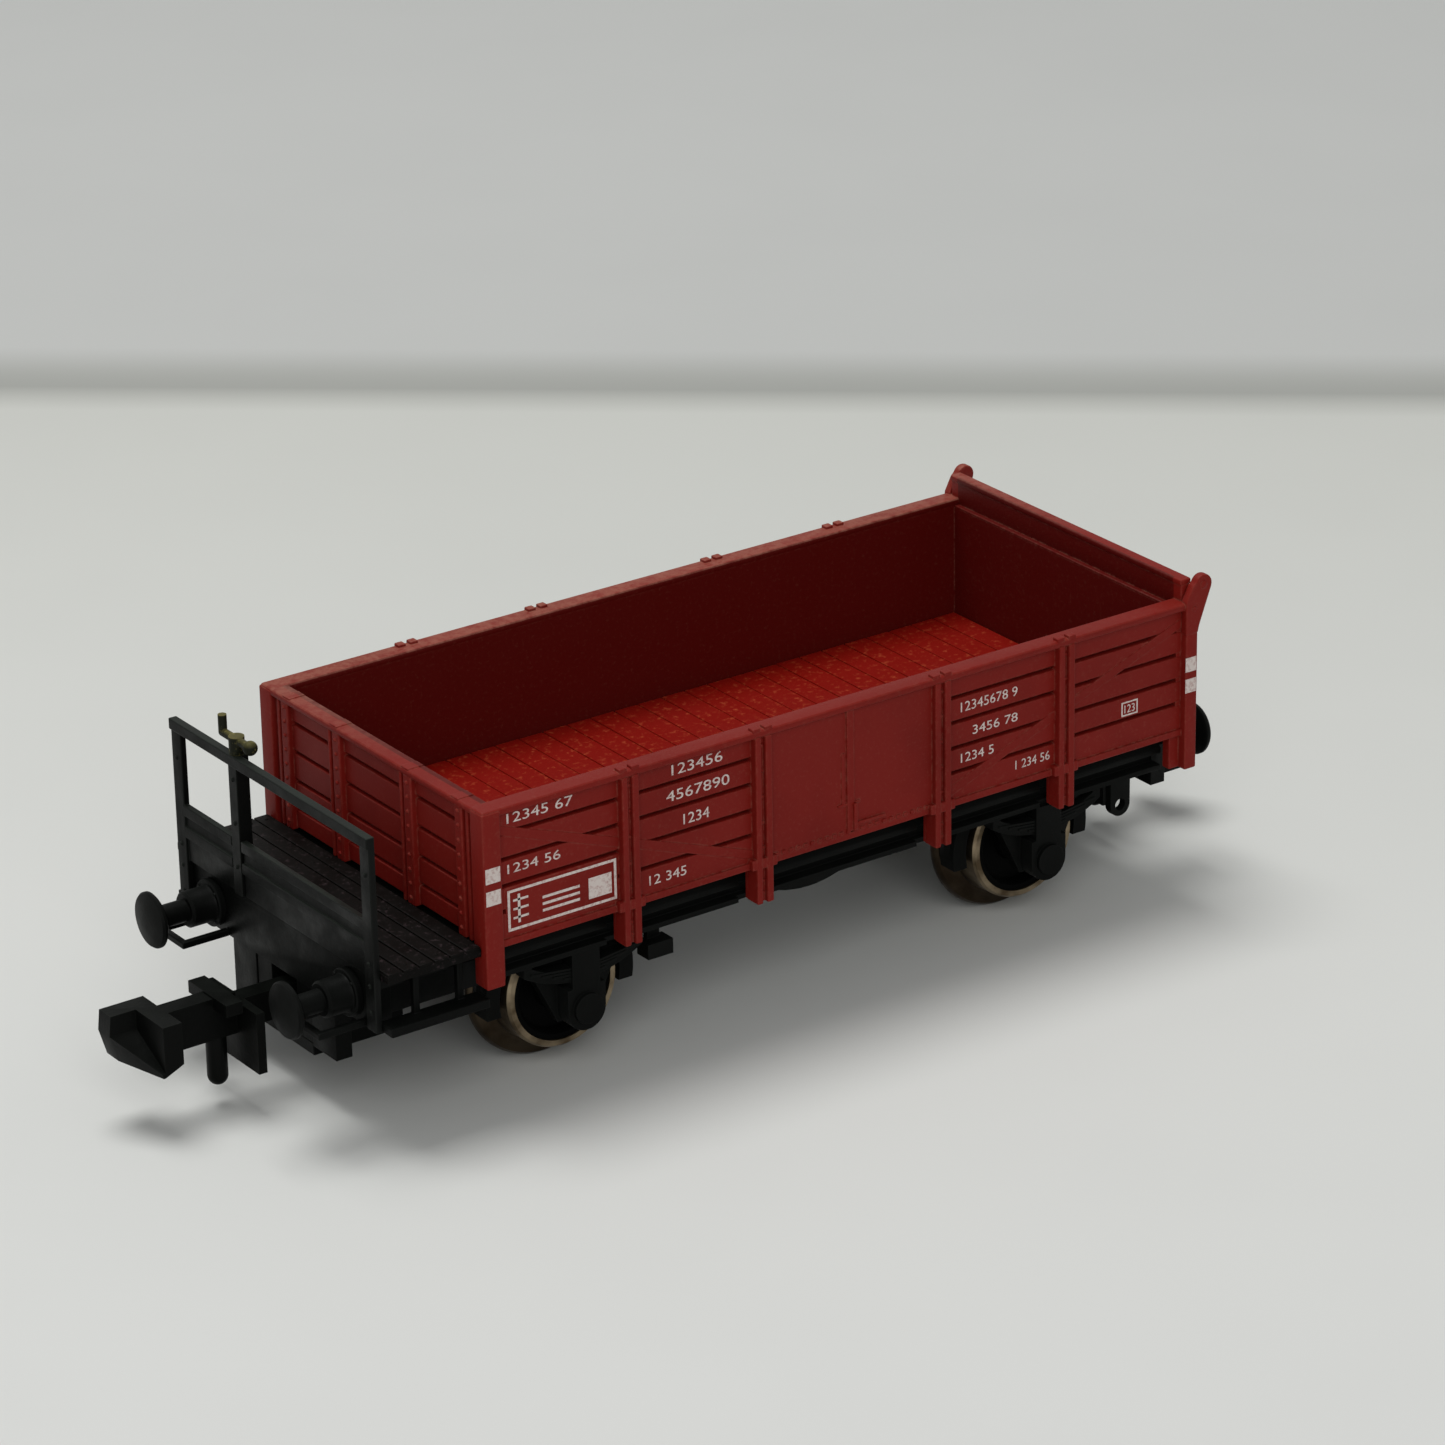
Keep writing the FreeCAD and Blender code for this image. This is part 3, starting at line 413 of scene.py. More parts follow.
def turned_metal(name, colour, tarnish, roughness, axle=None, ring_mm=0.09):
    material, tree, shader, place = new_material(name, roughness, metallic=1.0)
    cloud = add_noise(tree, place, 1.2, 4.0)
    tone = blend(tree, spread(tree, cloud, 0.4, 0.65, 0, 1), colour, tarnish)
    if axle:
        moved = add_node(tree, "VectorMath", {"operation": "SUBTRACT"}, {0: place})
        moved.inputs[1].default_value = axle
        flat = add_node(tree, "VectorMath", {"operation": "MULTIPLY"}, {0: moved.outputs[0]})
        flat.inputs[1].default_value = (1, 0, 1)
        reach = add_node(tree, "VectorMath", {"operation": "LENGTH"}, {0: flat.outputs[0]}).outputs["Value"]
        rings = add_node(tree, "TexNoise",
                         {"noise_dimensions": "1D", "Scale": grain(ring_mm), "Detail": 2.0},
                         {"W": reach}).outputs["Fac"]
        # Past the tread the flange turns dark brown: painted shade on the flange.
        painted_flange_shade = spread(tree, reach, (TREAD - 0.05) * MM, (TREAD + 0.05) * MM, 0, 0.85)
        tone = blend(tree, painted_flange_shade, tone, "#2A2018")
    else:
        rings = add_noise(tree, place, ring_mm)
    tree.links.new(tone, shader.inputs["Base Color"])
    add_bump(tree, shader, rings, 0.35, 0.01)
    tree.links.new(spread(tree, cloud, 0, 1, roughness - 0.1, roughness + 0.15), shader.inputs["Roughness"])
    return material


tyre_metal = {}
for end in ENDS:
    low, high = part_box(end + "_axle")
    middle = (low + high) / 2
    tyre_metal[end] = turned_metal(end + "_tyre_dark_nickel_silver", "#9A8A72", "#5C4E3C", 0.38,
                                   tuple(middle))
axle_steel = turned_metal("turned_axle_steel", "#8E8C88", "#5A5854", 0.3)
spring_steel = turned_metal("drawn_spring_wire", "#B4B0A6", "#7C786E", 0.3)
ballast_steel = turned_metal("pressed_sheet_steel", "#8A8A8A", "#666462", 0.4)
crank_paint = black_plastic("brake_crank_olive_paint", "#1B1C14", "#6E673C", 0.85, roughness=0.35,
                            fleck="#7A7242")

# %% [markdown]
# ### White print
#
# The marks are pad-printed: a soft pad presses thin white ink on the moulding, and the ink breaks up where
# the surface is rough.  The marks are thin meshes of their own, with the red showing through in places.

# %% White ink
def pad_print_white():
    material, tree, shader, place = new_material("pad_printed_white_ink", 0.5)
    speck = add_noise(tree, place, 0.16, 4.0, 0.7)
    tree.links.new(blend(tree, spread(tree, speck, 0.48, 0.7, 0, 0.65), "#D0C4BE", "#8A3E38"),
                   shader.inputs["Base Color"])
    add_bump(tree, shader, speck, 0.3, 0.01)
    return material


print_white = pad_print_white()
print(len(bpy.data.materials), "materials")

# %% [markdown]
# ## The body's sides
#
# The real wagon had sides of five planks between steel posts.  On the model the planks are fields with
# narrow grooves between them.  Each side is built up the way the real one was: a sheet at the back, planks
# in front of it with small gaps, flat braces across the planks, channel-shaped posts with rivets, a
# rounded rim on top and a strip along the lower edge.  Boxes with gaps give true grooves that catch shadow
# from every side, which a bump pattern would not.

# %% Places on the body
sheet_y = 8.35
plank_y = 8.38
inner_y = 7.75
face_y = body_high.y
body_x0, body_x1 = -15.55, 22.25
post_x = (-8.2, -1.4, 8.1, 14.9)
post_width = 0.86
side_bottom, side_top = 7.8, 14.2
post_foot = 6.2
groove_z = (12.87, 11.7, 10.5, 9.35)
groove_gap = 0.18
rim_z = side_top - 0.35
sill_top = 8.12


def across(sign, inner, outer):
    """A (low, high) pair in Y on the near or the far side."""
    return (sign * inner, sign * outer)


# %% Planks, braces, posts and rims
def plank_field(bm, x_low, x_high):
    """Planks between two posts, from the rim down to the sill, with gaps at the grooves."""
    levels = [rim_z + 0.1, *groove_z, side_bottom + 0.05]
    for upper, lower in zip(levels, levels[1:]):
        heights = (lower + groove_gap / 2, upper - groove_gap / 2)
        add_block(bm, (x_low, x_high), across(NEAR, sheet_y - 0.35, plank_y), heights, 0.05)


def channel_post(bm, x, foot, top):
    """Two ribs with a channel between them, rivets in the channel, and a bracket at the sill."""
    half = post_width / 2
    rib = 0.3
    for low, high in ((-half, rib - half), (half - rib - 0.04, half)):
        add_block(bm, (x + low, x + high), across(NEAR, inner_y + 0.2, face_y), (foot, top), 0.07)
    back = face_y - 0.22
    web = (x - half + 0.1, x + half - 0.1)
    add_block(bm, web, across(NEAR, inner_y + 0.2, back), (foot + 0.03, top), 0.03)
    for z in (13.45, 12.3, 11.1, 9.9, 8.75, 7.2, 6.65):
        add_rivet(bm, (x, -back, z), (0, -1, 0), 0.1, 0.1)
    bracket = across(NEAR, sheet_y - 0.2, face_y - 0.02)
    add_block(bm, (x - 0.66, x + 0.66), bracket, (side_bottom + 0.02, side_bottom + 0.5), 0.07)
    skirt = across(NEAR, inner_y + 0.03, sheet_y - 0.02)
    add_block(bm, (x - half + 0.02, x + half - 0.02), skirt, (foot + 0.02, side_bottom + 0.3), 0.05)


def rim_lugs(bm, x):
    """The two small lugs on the rim over a post."""
    for shift in (-0.32, 0.3):
        span = (x + shift - 0.2, x + shift + 0.2)
        add_block(bm, span, across(NEAR, sheet_y - 0.05, face_y - 0.05),
                  (side_top - 0.1, side_top + 0.12), 0.06)


def brace(bm, top_x, foot_x):
    """A flat strip from the corner post's top down to the door post's foot."""
    add_slat(bm, (top_x, 13.3), (foot_x, 8.3), across(NEAR, sheet_y - 0.3, plank_y + 0.03), 0.42)


# %% [markdown]
# The door is two plain steel leaves.  A strip covers their joint, with a latch at its foot, and the leaves
# hang on a row of small hinges along the sill.

# %% Door
door_x = (post_x[1] + post_x[2]) / 2
door_face = sheet_y + 0.12


def door_leaves(bm):
    inner = sheet_y - 0.3
    leaf = across(NEAR, inner, door_face)
    heights = (sill_top - 0.1, rim_z + 0.05)
    add_block(bm, (post_x[1], door_x - 0.06), leaf, heights, 0.06)
    add_block(bm, (door_x + 0.06, post_x[2]), leaf, heights, 0.06)
    details = (
        ((-0.28, 0.1), (8.2, 13.9), 0.09),
        ((-0.75, 0.42), (9.42, 9.56), 0.07),
        ((0.05, 1.75), (8.42, 8.56), 0.11),
        ((0.0, 0.2), (8.25, 9.5), 0.2),
        ((-0.55, -0.36), (9.47, 11.9), 0.05),
    )
    for x, z, height in details:
        span = (door_x + x[0], door_x + x[1])
        add_block(bm, span, across(NEAR, inner, door_face + height), z, 0.04)
    count = 22
    pitch = (post_x[2] - post_x[1] - 1.5) / (count - 1)
    for step in range(count):
        x = post_x[1] + 0.75 + step * pitch
        add_block(bm, (x - 0.11, x + 0.11), across(NEAR, inner, door_face + 0.06), (8.1, 8.27), 0.03)


# %% Put one side together
panel_x, panel_z = (-14.3, -8.72), (8.32, 10.33)


def near_side():
    bm = bmesh.new()
    sheet = across(NEAR, inner_y, sheet_y - 0.3)
    add_block(bm, (body_x0 + 0.3, body_x1 - 0.3), sheet, (side_bottom + 0.03, side_top - 0.05), 0.02)
    rim = across(NEAR, inner_y - 0.02, face_y - 0.04)
    add_block(bm, (body_x0 + 0.03, body_x1 - 0.03), rim, (rim_z, side_top), 0.13, 3)
    sill = across(NEAR, inner_y + 0.06, sheet_y + 0.13)
    add_block(bm, (body_x0 + 0.2, body_x1 - 0.2), sill, (side_bottom, sill_top), 0.05)
    fields = ((body_x0 + 0.5, post_x[0]), (post_x[0], post_x[1]), (post_x[2], post_x[3]),
              (post_x[3], body_x1 - 0.4))
    for x_low, x_high in fields:
        plank_field(bm, x_low, x_high)
    add_block(bm, panel_x, across(NEAR, sheet_y - 0.3, plank_y + 0.02), panel_z, 0.03)
    brace(bm, body_x0 + 0.4, post_x[1])
    brace(bm, body_x1 - 0.4, post_x[2])
    for x in post_x:
        channel_post(bm, x, post_foot, rim_z + 0.08)
        rim_lugs(bm, x)
    door_leaves(bm)
    return bm


def add_turned_round(bm, source):
    """Adds a copy of a side, turned half round about the middle of the body, as the other side."""
    copy = source.copy()
    middle = (door_x, 0, 0)
    bmesh.ops.rotate(copy, cent=middle, matrix=Matrix.Rotation(pi, 3, "Z"), verts=copy.verts)
    add_own(bm, copy)


# %% [markdown]
# ## End walls and corners
#
# The platform end has two middle posts and flat strips beside the corners, all riveted.  The other end wall
# tips out at its foot: it stands higher, its upper part is thinner, and a curled horn at each corner is its
# hinge.

# %% Corner posts
def corner_post(bm, sign, x, inward, width):
    """A tall post on the corner that reaches down past the sill like the others, with a flange beside it."""
    post = across(sign, inner_y + 0.05, face_y)
    add_block(bm, (x, x + inward * width), post, (post_foot, side_top - 0.1), 0.08, 3)
    flange = across(sign, inner_y + 0.08, sheet_y - 0.05)
    add_block(bm, (x + inward * 0.3, x + inward * 1.2), flange, (post_foot + 0.02, side_bottom + 0.2), 0.06)


# %% Platform end wall
end_thick = 0.9
end_post_y = 2.8


def end_planks(bm, face, inward, spans, levels):
    for y_low, y_high in spans:
        for upper, lower in zip(levels, levels[1:]):
            add_block(bm, (face, face + inward * 0.35), (y_low, y_high),
                      (lower + groove_gap / 2, upper - groove_gap / 2), 0.05)


def end_post(bm, sheet, face, inward, middle, bottom, top):
    """A riveted channel post: a flat rib with rivets and a groove beside it."""
    for low, high in ((-0.47, 0.12), (0.3, 0.47)):
        add_block(bm, (face, sheet + inward * 0.3), (middle + low, middle + high), (bottom, top), 0.06)
    count = 9
    for step in range(count):
        z = bottom + 0.35 + step * (top - bottom - 0.7) / (count - 1)
        add_rivet(bm, (face, middle - 0.17, z), (-inward, 0, 0), 0.1, 0.08)


def platform_wall(bm):
    sheet = body_x0 + 0.3
    bottom = 8.0
    add_block(bm, (sheet + 0.28, body_x0 + end_thick), (-sheet_y, sheet_y), (bottom, side_top - 0.05), 0.02)
    rim_end = inner_y + 0.2
    add_block(bm, (body_x0 + 0.02, body_x0 + end_thick + 0.02), (-rim_end, rim_end),
              (rim_z, side_top - 0.015), 0.13, 3)
    spans = ((-6.6, -3.2), (-2.4, 2.4), (3.2, 6.6))
    end_planks(bm, sheet, 1, spans, (rim_z + 0.1, 13.0, 11.65, 10.3, 9.0, bottom))
    for middle in (-end_post_y, end_post_y):
        end_post(bm, sheet, body_x0 + 0.04, 1, middle, bottom, rim_z + 0.08)
    for sign in (NEAR, FAR):
        y_low, y_high = sorted((sign * 6.55, sign * 7.1))
        add_block(bm, (body_x0 + 0.06, sheet + 0.3), (y_low, y_high), (bottom, rim_z + 0.08), 0.06)
        outer = sorted((sign * 7.3, sign * 7.5))
        add_block(bm, (body_x0 + 0.1, sheet + 0.3), outer, (bottom, rim_z + 0.08), 0.05)
        for step in range(9):
            z = bottom + 0.4 + step * 0.66
            add_rivet(bm, (body_x0 + 0.06, sign * 6.82, z), (-1, 0, 0), 0.1, 0.08)
    for y in (-6.6, -2.8, 2.8, 6.6):
        add_block(bm, (body_x0 + 0.05, body_x0 + end_thick - 0.05), (y - 0.3, y + 0.3),
                  (side_top - 0.1, side_top + 0.03), 0.05)


# %% Tipping end wall and its horns
def tipping_wall(bm):
    sheet = body_x1 - 0.3
    wall_top = side_top + 1.0
    inner = body_x1 - end_thick
    add_block(bm, (inner, sheet - 0.28), (-sheet_y, sheet_y), (side_bottom + 0.05, side_top - 0.4), 0.02)
    reach = sheet_y - 0.03
    add_block(bm, (inner, body_x1 - 0.15), (-8, 8), (side_top - 0.42, side_top - 0.3), 0.04)
    add_block(bm, (inner + 0.25, body_x1 - 0.16), (-reach, reach),
              (side_top - 0.4, wall_top - 0.02), 0.09, 3)
    add_block(bm, (inner + 0.2, body_x1 - 0.1), (-reach - 0.02, reach + 0.02),
              (wall_top - 0.28, wall_top), 0.08, 3)
    spans = ((-7.7, -3.2), (-2.4, 2.4), (3.2, 7.7))
    end_planks(bm, sheet, -1, spans, (side_top - 0.2, *groove_z, side_bottom))
    for middle in (-end_post_y, end_post_y):
        end_post(bm, sheet, body_x1 - 0.04, -1, middle, side_bottom, wall_top - 0.1)
    add_block(bm, (sheet - 0.2, body_x1 - 0.05), (-sheet_y, sheet_y), (side_bottom, sill_top), 0.05)


def hinge_horn(bm, sign):
    """A strap on the corner that leans out of the wall and ends in a round eye above it."""
    eye_x, eye_z, radius = body_x1 + 0.26, side_top + 0.72, 0.48
    eye = [(eye_x + radius * cos(a), eye_z + radius * sin(a))
           for a in (radians(20 * n - 20) for n in range(10))]
    outline = [(body_x1 - 0.71, 12.7), (body_x1 - 0.02, 12.7), (body_x1 + 0.06, 13.05), *eye,
               (body_x1 - 0.34, 14.95), (body_x1 - 0.71, 14.25)]
    add_plate(bm, outline, across(sign, face_y - 0.36, face_y + 0.04), 0.07)
    add_rivet(bm, (eye_x, sign * (face_y + 0.04), eye_z), (0, sign, 0), 0.2, 0.07, 12)
    add_rivet(bm, (body_x1 - 0.25, sign * (face_y + 0.04), 13.9), (0, sign, 0), 0.13, 0.07, 12)


# %% [markdown]
# All of this is one moulding, so it becomes one object.  It stands for the CAD node wagon_body, which keeps
# the weight and the collision shape.

# %% Body moulding
side = near_side()
body = side.copy()
add_turned_round(body, side)
side.free()
for sign in (NEAR, FAR):
    corner_post(body, sign, body_x0, 1, 0.9)
    corner_post(body, sign, body_x1, -1, 0.66)
    hinge_horn(body, sign)
platform_wall(body)
tipping_wall(body)
add_block(body, (body_x0 + 0.4, body_x1 - 0.4), (-inner_y - 0.1, inner_y + 0.1), (8.1, 8.39), 0.02)
finish_piece("wagon_body_moulding", body, body_red, "wagon", ["wagon_body"])

# %% [markdown]
# ## Load floor
#
# The floor is a thin insert with planks across the wagon and a coarse sanded grain.  The planks are narrow
# boxes with small gaps; their heights differ a little so that the joints show.

# %% Floor planks
def load_floor():
    low, high = node_box("floor_insert")
    bm = bmesh.new()
    add_block(bm, (low.x, high.x), (low.y, high.y), (low.z, high.z - 0.09), 0.02)
    count = 28
    pitch = (high.x - low.x) / count
    for step in range(count):
        x = low.x + step * pitch
        sink = 0.025 * noise.noise(Vector((step * 1.7, 0.3, 0)))
        add_block(bm, (x + 0.03, x + pitch - 0.03), (low.y, high.y),
                  (low.z + 0.05, high.z - 0.03 + sink), 0.04)
    return bm


finish_piece("load_floor_planks", load_floor(), floor_red, "wagon", ["floor_insert"])

# %% [markdown]
# ## Platform
#
# The brakeman's platform is black: a planked deck, a railing with a toe board at its foot, a square brake
# column and a crank.  The CAD shapes are right, so rounded copies of them carry the small extra details.

# %% Deck
def platform_deck():
    low, high = node_box("platform_deck")
    bm = bmesh.new()
    add_block(bm, (low.x, high.x), (low.y, high.y), (low.z, high.z - 0.1), 0.04)
    count = 6
    pitch = (high.x - low.x) / count
    for step in range(count):
        x = low.x + step * pitch
        add_block(bm, (x + 0.03, x + pitch - 0.03), (low.y + 0.02, high.y - 0.02),
                  (low.z + 0.1, high.z), 0.04)
        for y in (low.y + 0.5, -2.9, 2.9, high.y - 0.5):
            add_rivet(bm, (x + pitch / 2, y, high.z), (0, 0, 1), 0.09, 0.04)
    return bm


finish_piece("platform_deck_planks", platform_deck(), deck_black, "wagon", ["platform_deck"])

# %% Railing, column and crank
railing = rounded_copy("platform_railing", 0.07)
rail_low, rail_high = node_box("platform_railing")
for sign in (NEAR, FAR):
    for z in (6.2, 7.4, 8.4, 12.4):
        add_rivet(railing, (rail_low.x + 0.1, sign * (rail_high.y - 0.37), z), (-1, 0, 0), 0.11, 0.08)
finish_piece("platform_railing_frame", railing, railing_black, "wagon", ["platform_railing"])

column = rounded_copy("brake_column", 0.05)
column_low, column_high = node_box("brake_column")
column_y = (column_low.y + column_high.y) / 2
for z in (9.0, 11.0, 13.0):
    add_rivet(column, (column_low.x, column_y, z), (-1, 0, 0), 0.11, 0.08)
for sign in (NEAR, FAR):
    add_rivet(column, (column_high.x - 0.25, column_y + sign * 0.5, 8.5), (0, 0, 1), 0.09, 0.06)
finish_piece("brake_column_post", column, railing_black, "wagon", ["brake_column"])

crank = rounded_copy("brake_crank", 0.06)
finish_piece("brake_crank_arm", crank, crank_paint, "wagon", ["brake_crank"])

for side in ("near", "far"):
    board = rounded_copy("step_board_" + side, 0.05)
    finish_piece("step_board_" + side + "_plank", board, frame_black, "wagon",
                 ["step_board_" + side])

# %% [markdown]
# ## Running gear
#
# Each wheel is a plastic centre in a turned metal tyre with a flange.  A lathe makes both on the real model,
# so both are outlines spun round the axle.

# %% Wheels
FLANGE = 3.7
TYRE_WALL = 0.36
WHEEL_IN, WHEEL_OUT, FLANGE_WIDTH = 3.7, 5.9, 0.7


def tyre_outline():
    """From the flange's inner corner round the outside to the outer face and back along the bore."""
    bore = TREAD - TYRE_WALL
    crown = [(WHEEL_IN + FLANGE_WIDTH * (0.5 - 0.5 * cos(a)), FLANGE - 0.3 + 0.3 * sin(a))
             for a in (0, pi / 6, pi / 3, pi / 2, 2 * pi / 3, 5 * pi / 6)]
    root = [(WHEEL_IN + FLANGE_WIDTH, FLANGE - 0.35), (WHEEL_IN + FLANGE_WIDTH + 0.06, TREAD + 0.2),
            (WHEEL_IN + FLANGE_WIDTH + 0.16, TREAD + 0.05)]
    tread = [(WHEEL_IN + 1.1, TREAD), (WHEEL_OUT - 0.12, TREAD - 0.03), (WHEEL_OUT, TREAD - 0.13),
             (WHEEL_OUT, bore), (WHEEL_IN, bore)]
    return [(WHEEL_IN, bore)] + crown + root + tread


def centre_outline():
    """A dished disc with a hub and a raised ring inside the tyre."""
    bore, rim = 0.78, TREAD - TYRE_WALL
    return [(WHEEL_OUT - 0.25, bore), (WHEEL_OUT - 0.25, 0.95), (WHEEL_OUT - 0.32, 1.05),
            (WHEEL_OUT - 0.62, 1.15), (WHEEL_OUT - 0.62, rim - 0.42), (WHEEL_OUT - 0.22, rim - 0.34),
            (WHEEL_OUT - 0.1, rim - 0.24), (WHEEL_OUT - 0.1, rim), (WHEEL_IN + 0.15, rim),
            (WHEEL_IN + 0.15, rim - 0.3), (WHEEL_IN + 0.5, rim - 0.4), (WHEEL_IN + 0.5, 1.15),
            (WHEEL_IN + 0.15, 1.0), (WHEEL_IN + 0.15, bore), (WHEEL_OUT - 0.25, bore)]


for end in ENDS:
    low, high = node_box(end + "_axle")
    centre = (low + high) / 2
    for side, sign in (("near", NEAR), ("far", FAR)):
        tyre = bmesh.new()
        add_turned(tyre, tyre_outline(), centre, (0, sign, 0))
        finish_piece(end + "_tyre_" + side + "_turned", tyre, tyre_metal[end], end + "_wheelset",
                     [end + "_tyre_" + side], 35)
        disc = bmesh.new()
        add_turned(disc, centre_outline(), centre, (0, sign, 0))
        finish_piece(end + "_wheel_centre_" + side + "_disc", disc, wheel_black, end + "_wheelset",
                     [end + "_wheel_centre_" + side], 35)

# %% [markdown]
# The underframe is one moulding too.  A rounded copy of its CAD shape gets the fine parts that a mould adds:
# the leaves of the springs, bolts on the axle guards and lids on the axleboxes.

# %% Underframe
underframe = rounded_copy("underframe", 0.04)
for end in ENDS:
    low, high = node_box(end + "_axle")
    axle_x, axle_z = (low.x + high.x) / 2, (low.z + high.z) / 2
    for sign in (NEAR, FAR):
        spring_y = across(sign, 7.08, 7.66)
        for leaf in range(4):
            reach = 2.7 - 0.55 * leaf
            z = 5.3 - 0.14 * leaf
            for turn in (-1, 1):
                tip = (axle_x + turn * reach, z + 0.12 * reach)
                add_slat(underframe, (axle_x, z), tip, spring_y, 0.11, 0.02)
        for x in (-1.1, 1.1):
            add_rivet(underframe, (axle_x + x, sign * 6.9, 5.7), (0, sign, 0), 0.13, 0.1)
        lid_y = across(sign, 6.6, 7.95)
        add_rod(underframe, (axle_x, lid_y[0], axle_z - 0.1), (axle_x, sign * 7.72, axle_z - 0.1), 0.62,
                rounding=0.08)
finish_piece("underframe_moulding", underframe, frame_black, "wagon", ["underframe"], 25)

# %% Brake gear, covers, grips and couplings
for end in ENDS:
    for node, body_name, slot, material in (
        (end + "_brake_gear", "wagon", "frame_black", frame_black),
        (end + "_coupler_cover", "wagon", "coupler_black", coupler_black),
        (end + "_shunter_grips", "wagon", "frame_black", frame_black),
        (end + "_coupler", end + "_coupler_hook", "coupler_black", coupler_black),
    ):
        shape = rounded_copy(node, 0.05)
        finish_piece(node + "_moulding", shape, material, body_name, [node])

# %% [markdown]
# ## Buffers
#
# A buffer is turned: a collar against the beam, a barrel, a thin plunger and a wide head, slightly domed so
# that two heads meet at one point.

# %% Buffers
def buffer_outline(reach, head):
    """(distance out from the beam, radius) points from the beam to the middle of the head."""
    head_z = reach - 0.5
    dome = [(reach - 0.18 * share ** 2, head * share) for share in (0.94, 0.7, 0.45, 0.2, 0)]
    return [(0, 0), (0, 1.0), (0.05, 1.05), (0.3, 1.05), (0.35, 1.0), (0.35, 0.85), (0.45, 0.8), (1.4, 0.8),
            (1.5, 0.7), (1.5, 0.5), (head_z - 0.1, 0.5), (head_z, 0.75), (head_z + 0.04, head - 0.1),
            (head_z + 0.12, head), (reach - 0.26, head)] + dome


for end, heading in ENDS.items():
    for side in ("near", "far"):
        low, high = node_box(end + "_buffer_" + side)
        foot_x = high.x if heading < 0 else low.x
        foot = (foot_x, (low.y + high.y) / 2, (low.z + high.z) / 2)
        buffer = bmesh.new()
        outline = buffer_outline(high.x - low.x, (high.y - low.y) / 2)
        add_turned(buffer, outline, foot, (heading, 0, 0), steps=64)
        for turn in range(4):
            angle = pi / 4 + turn * pi / 2
            place = Vector(foot) + Vector((heading * 0.3, 0.92 * cos(angle), 0.92 * sin(angle)))
            add_rivet(buffer, place, (heading, 0, 0), 0.09, 0.12)
        finish_piece(end + "_buffer_" + side + "_turned", buffer, frame_black, "wagon",
                     [end + "_buffer_" + side], 35)

# %% Metals that keep their CAD shape
for end in ENDS:
    nodes[end + "_axle"].data.materials[0] = axle_steel
    nodes[end + "_coupler_spring"].data.materials[0] = spring_steel
nodes["ballast_plate"].data.materials[0] = ballast_steel

# %% [markdown]
# ## Print
#
# Real wagons carry their number, load and length in white.  Here every such place has plain numbers that
# mean nothing.  A figure is a text curve, made a mesh at once, squeezed into its place on the side.

# %% Figures and panels
INK = 0.02


def figures(text):
    """A text's mesh, one unit high, as a bmesh."""
    curve = bpy.data.curves.new("figures", "FONT")
    curve.body = text
    curve.size = 1
    curve.extrude = 0.5
    curve.resolution_u = 3
    holder = bpy.data.objects.new("figures", curve)
    bpy.context.scene.collection.objects.link(holder)
    bpy.context.view_layer.update()
    mesh = bpy.data.meshes.new_from_object(holder)
    bm = bmesh.new()
    bm.from_mesh(mesh)
    bmesh.ops.remove_doubles(bm, verts=bm.verts, dist=1e-5)
    bpy.data.objects.remove(holder)
    bpy.data.curves.remove(curve)
    bpy.data.meshes.remove(mesh)
    return bm


def add_figures(bm, text, x, z, face):
    """Figures in the box from (low, high) pairs in X and Z, on a face at this distance from the middle."""
    own = figures(text)
    xs = [v.co.x for v in own.verts]
    ys = [v.co.y for v in own.verts]
    size = (x[1] - x[0]) / (max(xs) - min(xs)), (z[1] - z[0]) / (max(ys) - min(ys)), INK
    bmesh.ops.translate(own, vec=(-min(xs), -min(ys), 0), verts=own.verts)
    bmesh.ops.scale(own, vec=size, verts=own.verts)
    bmesh.ops.rotate(own, cent=(0, 0, 0), matrix=Matrix.Rotation(pi / 2, 3, "X"), verts=own.verts)
    bmesh.ops.translate(own, vec=(x[0], -face, z[0]), verts=own.verts)
    add_own(bm, own)


def add_patch(bm, x, z, face):
    add_block(bm, x, (-face - INK / 2, -face + INK / 2), z, 0)


def add_outline(bm, x, z, line, face):
    add_patch(bm, (x[0], x[1]), (z[0], z[0] + line), face)
    add_patch(bm, (x[0], x[1]), (z[1] - line, z[1]), face)
    add_patch(bm, (x[0], x[0] + line), (z[0] + line, z[1] - line), face)
    add_patch(bm, (x[1] - line, x[1]), (z[0] + line, z[1] - line), face)


# %% Print on both sides
def side_print():
    """All marks of the near side, in millimetres."""
    bm = bmesh.new()
    for low, high in ((11.0, 11.68), (10.0, 10.66)):
        add_patch(bm, (body_x0 + 0.08, body_x0 + 0.8), (low, high), face_y)
        add_patch(bm, (body_x1 - 0.68, body_x1 - 0.08), (low - 0.08, high - 0.08), face_y)
    rows = (
        ("12345 67", (-14.12, -10.86), (13.25, 13.7)),
        ("1234 56", (-14.16, -11.54), (11.0, 11.42)),
        ("123456", (-5.89, -3.29), (13.2, 13.68)),
        ("4567890", (-6.18, -2.95), (12.05, 12.53)),
        ("1234", (-5.34, -4.01), (10.82, 11.3)),
        ("12 345", (-7.14, -5.24), (8.5, 8.94)),
        ("12345678 9", (9.3, 12.4), (12.1, 12.55)),
        ("3456 78", (9.95, 12.41), (10.9, 11.32)),
        ("1234 5", (9.3, 11.1), (9.72, 10.15)),
        ("1 234 56", (12.3, 14.2), (8.6, 9.02)),
        ("123", (18.4, 18.98), (9.67, 10.05)),
    )
    for text, x, z in rows:
        add_figures(bm, text, x, z, plank_y)
    add_outline(bm, (18.23, 19.15), (9.53, 10.21), 0.07, plank_y)
    panel_print(bm, plank_y + 0.02)
    return bm


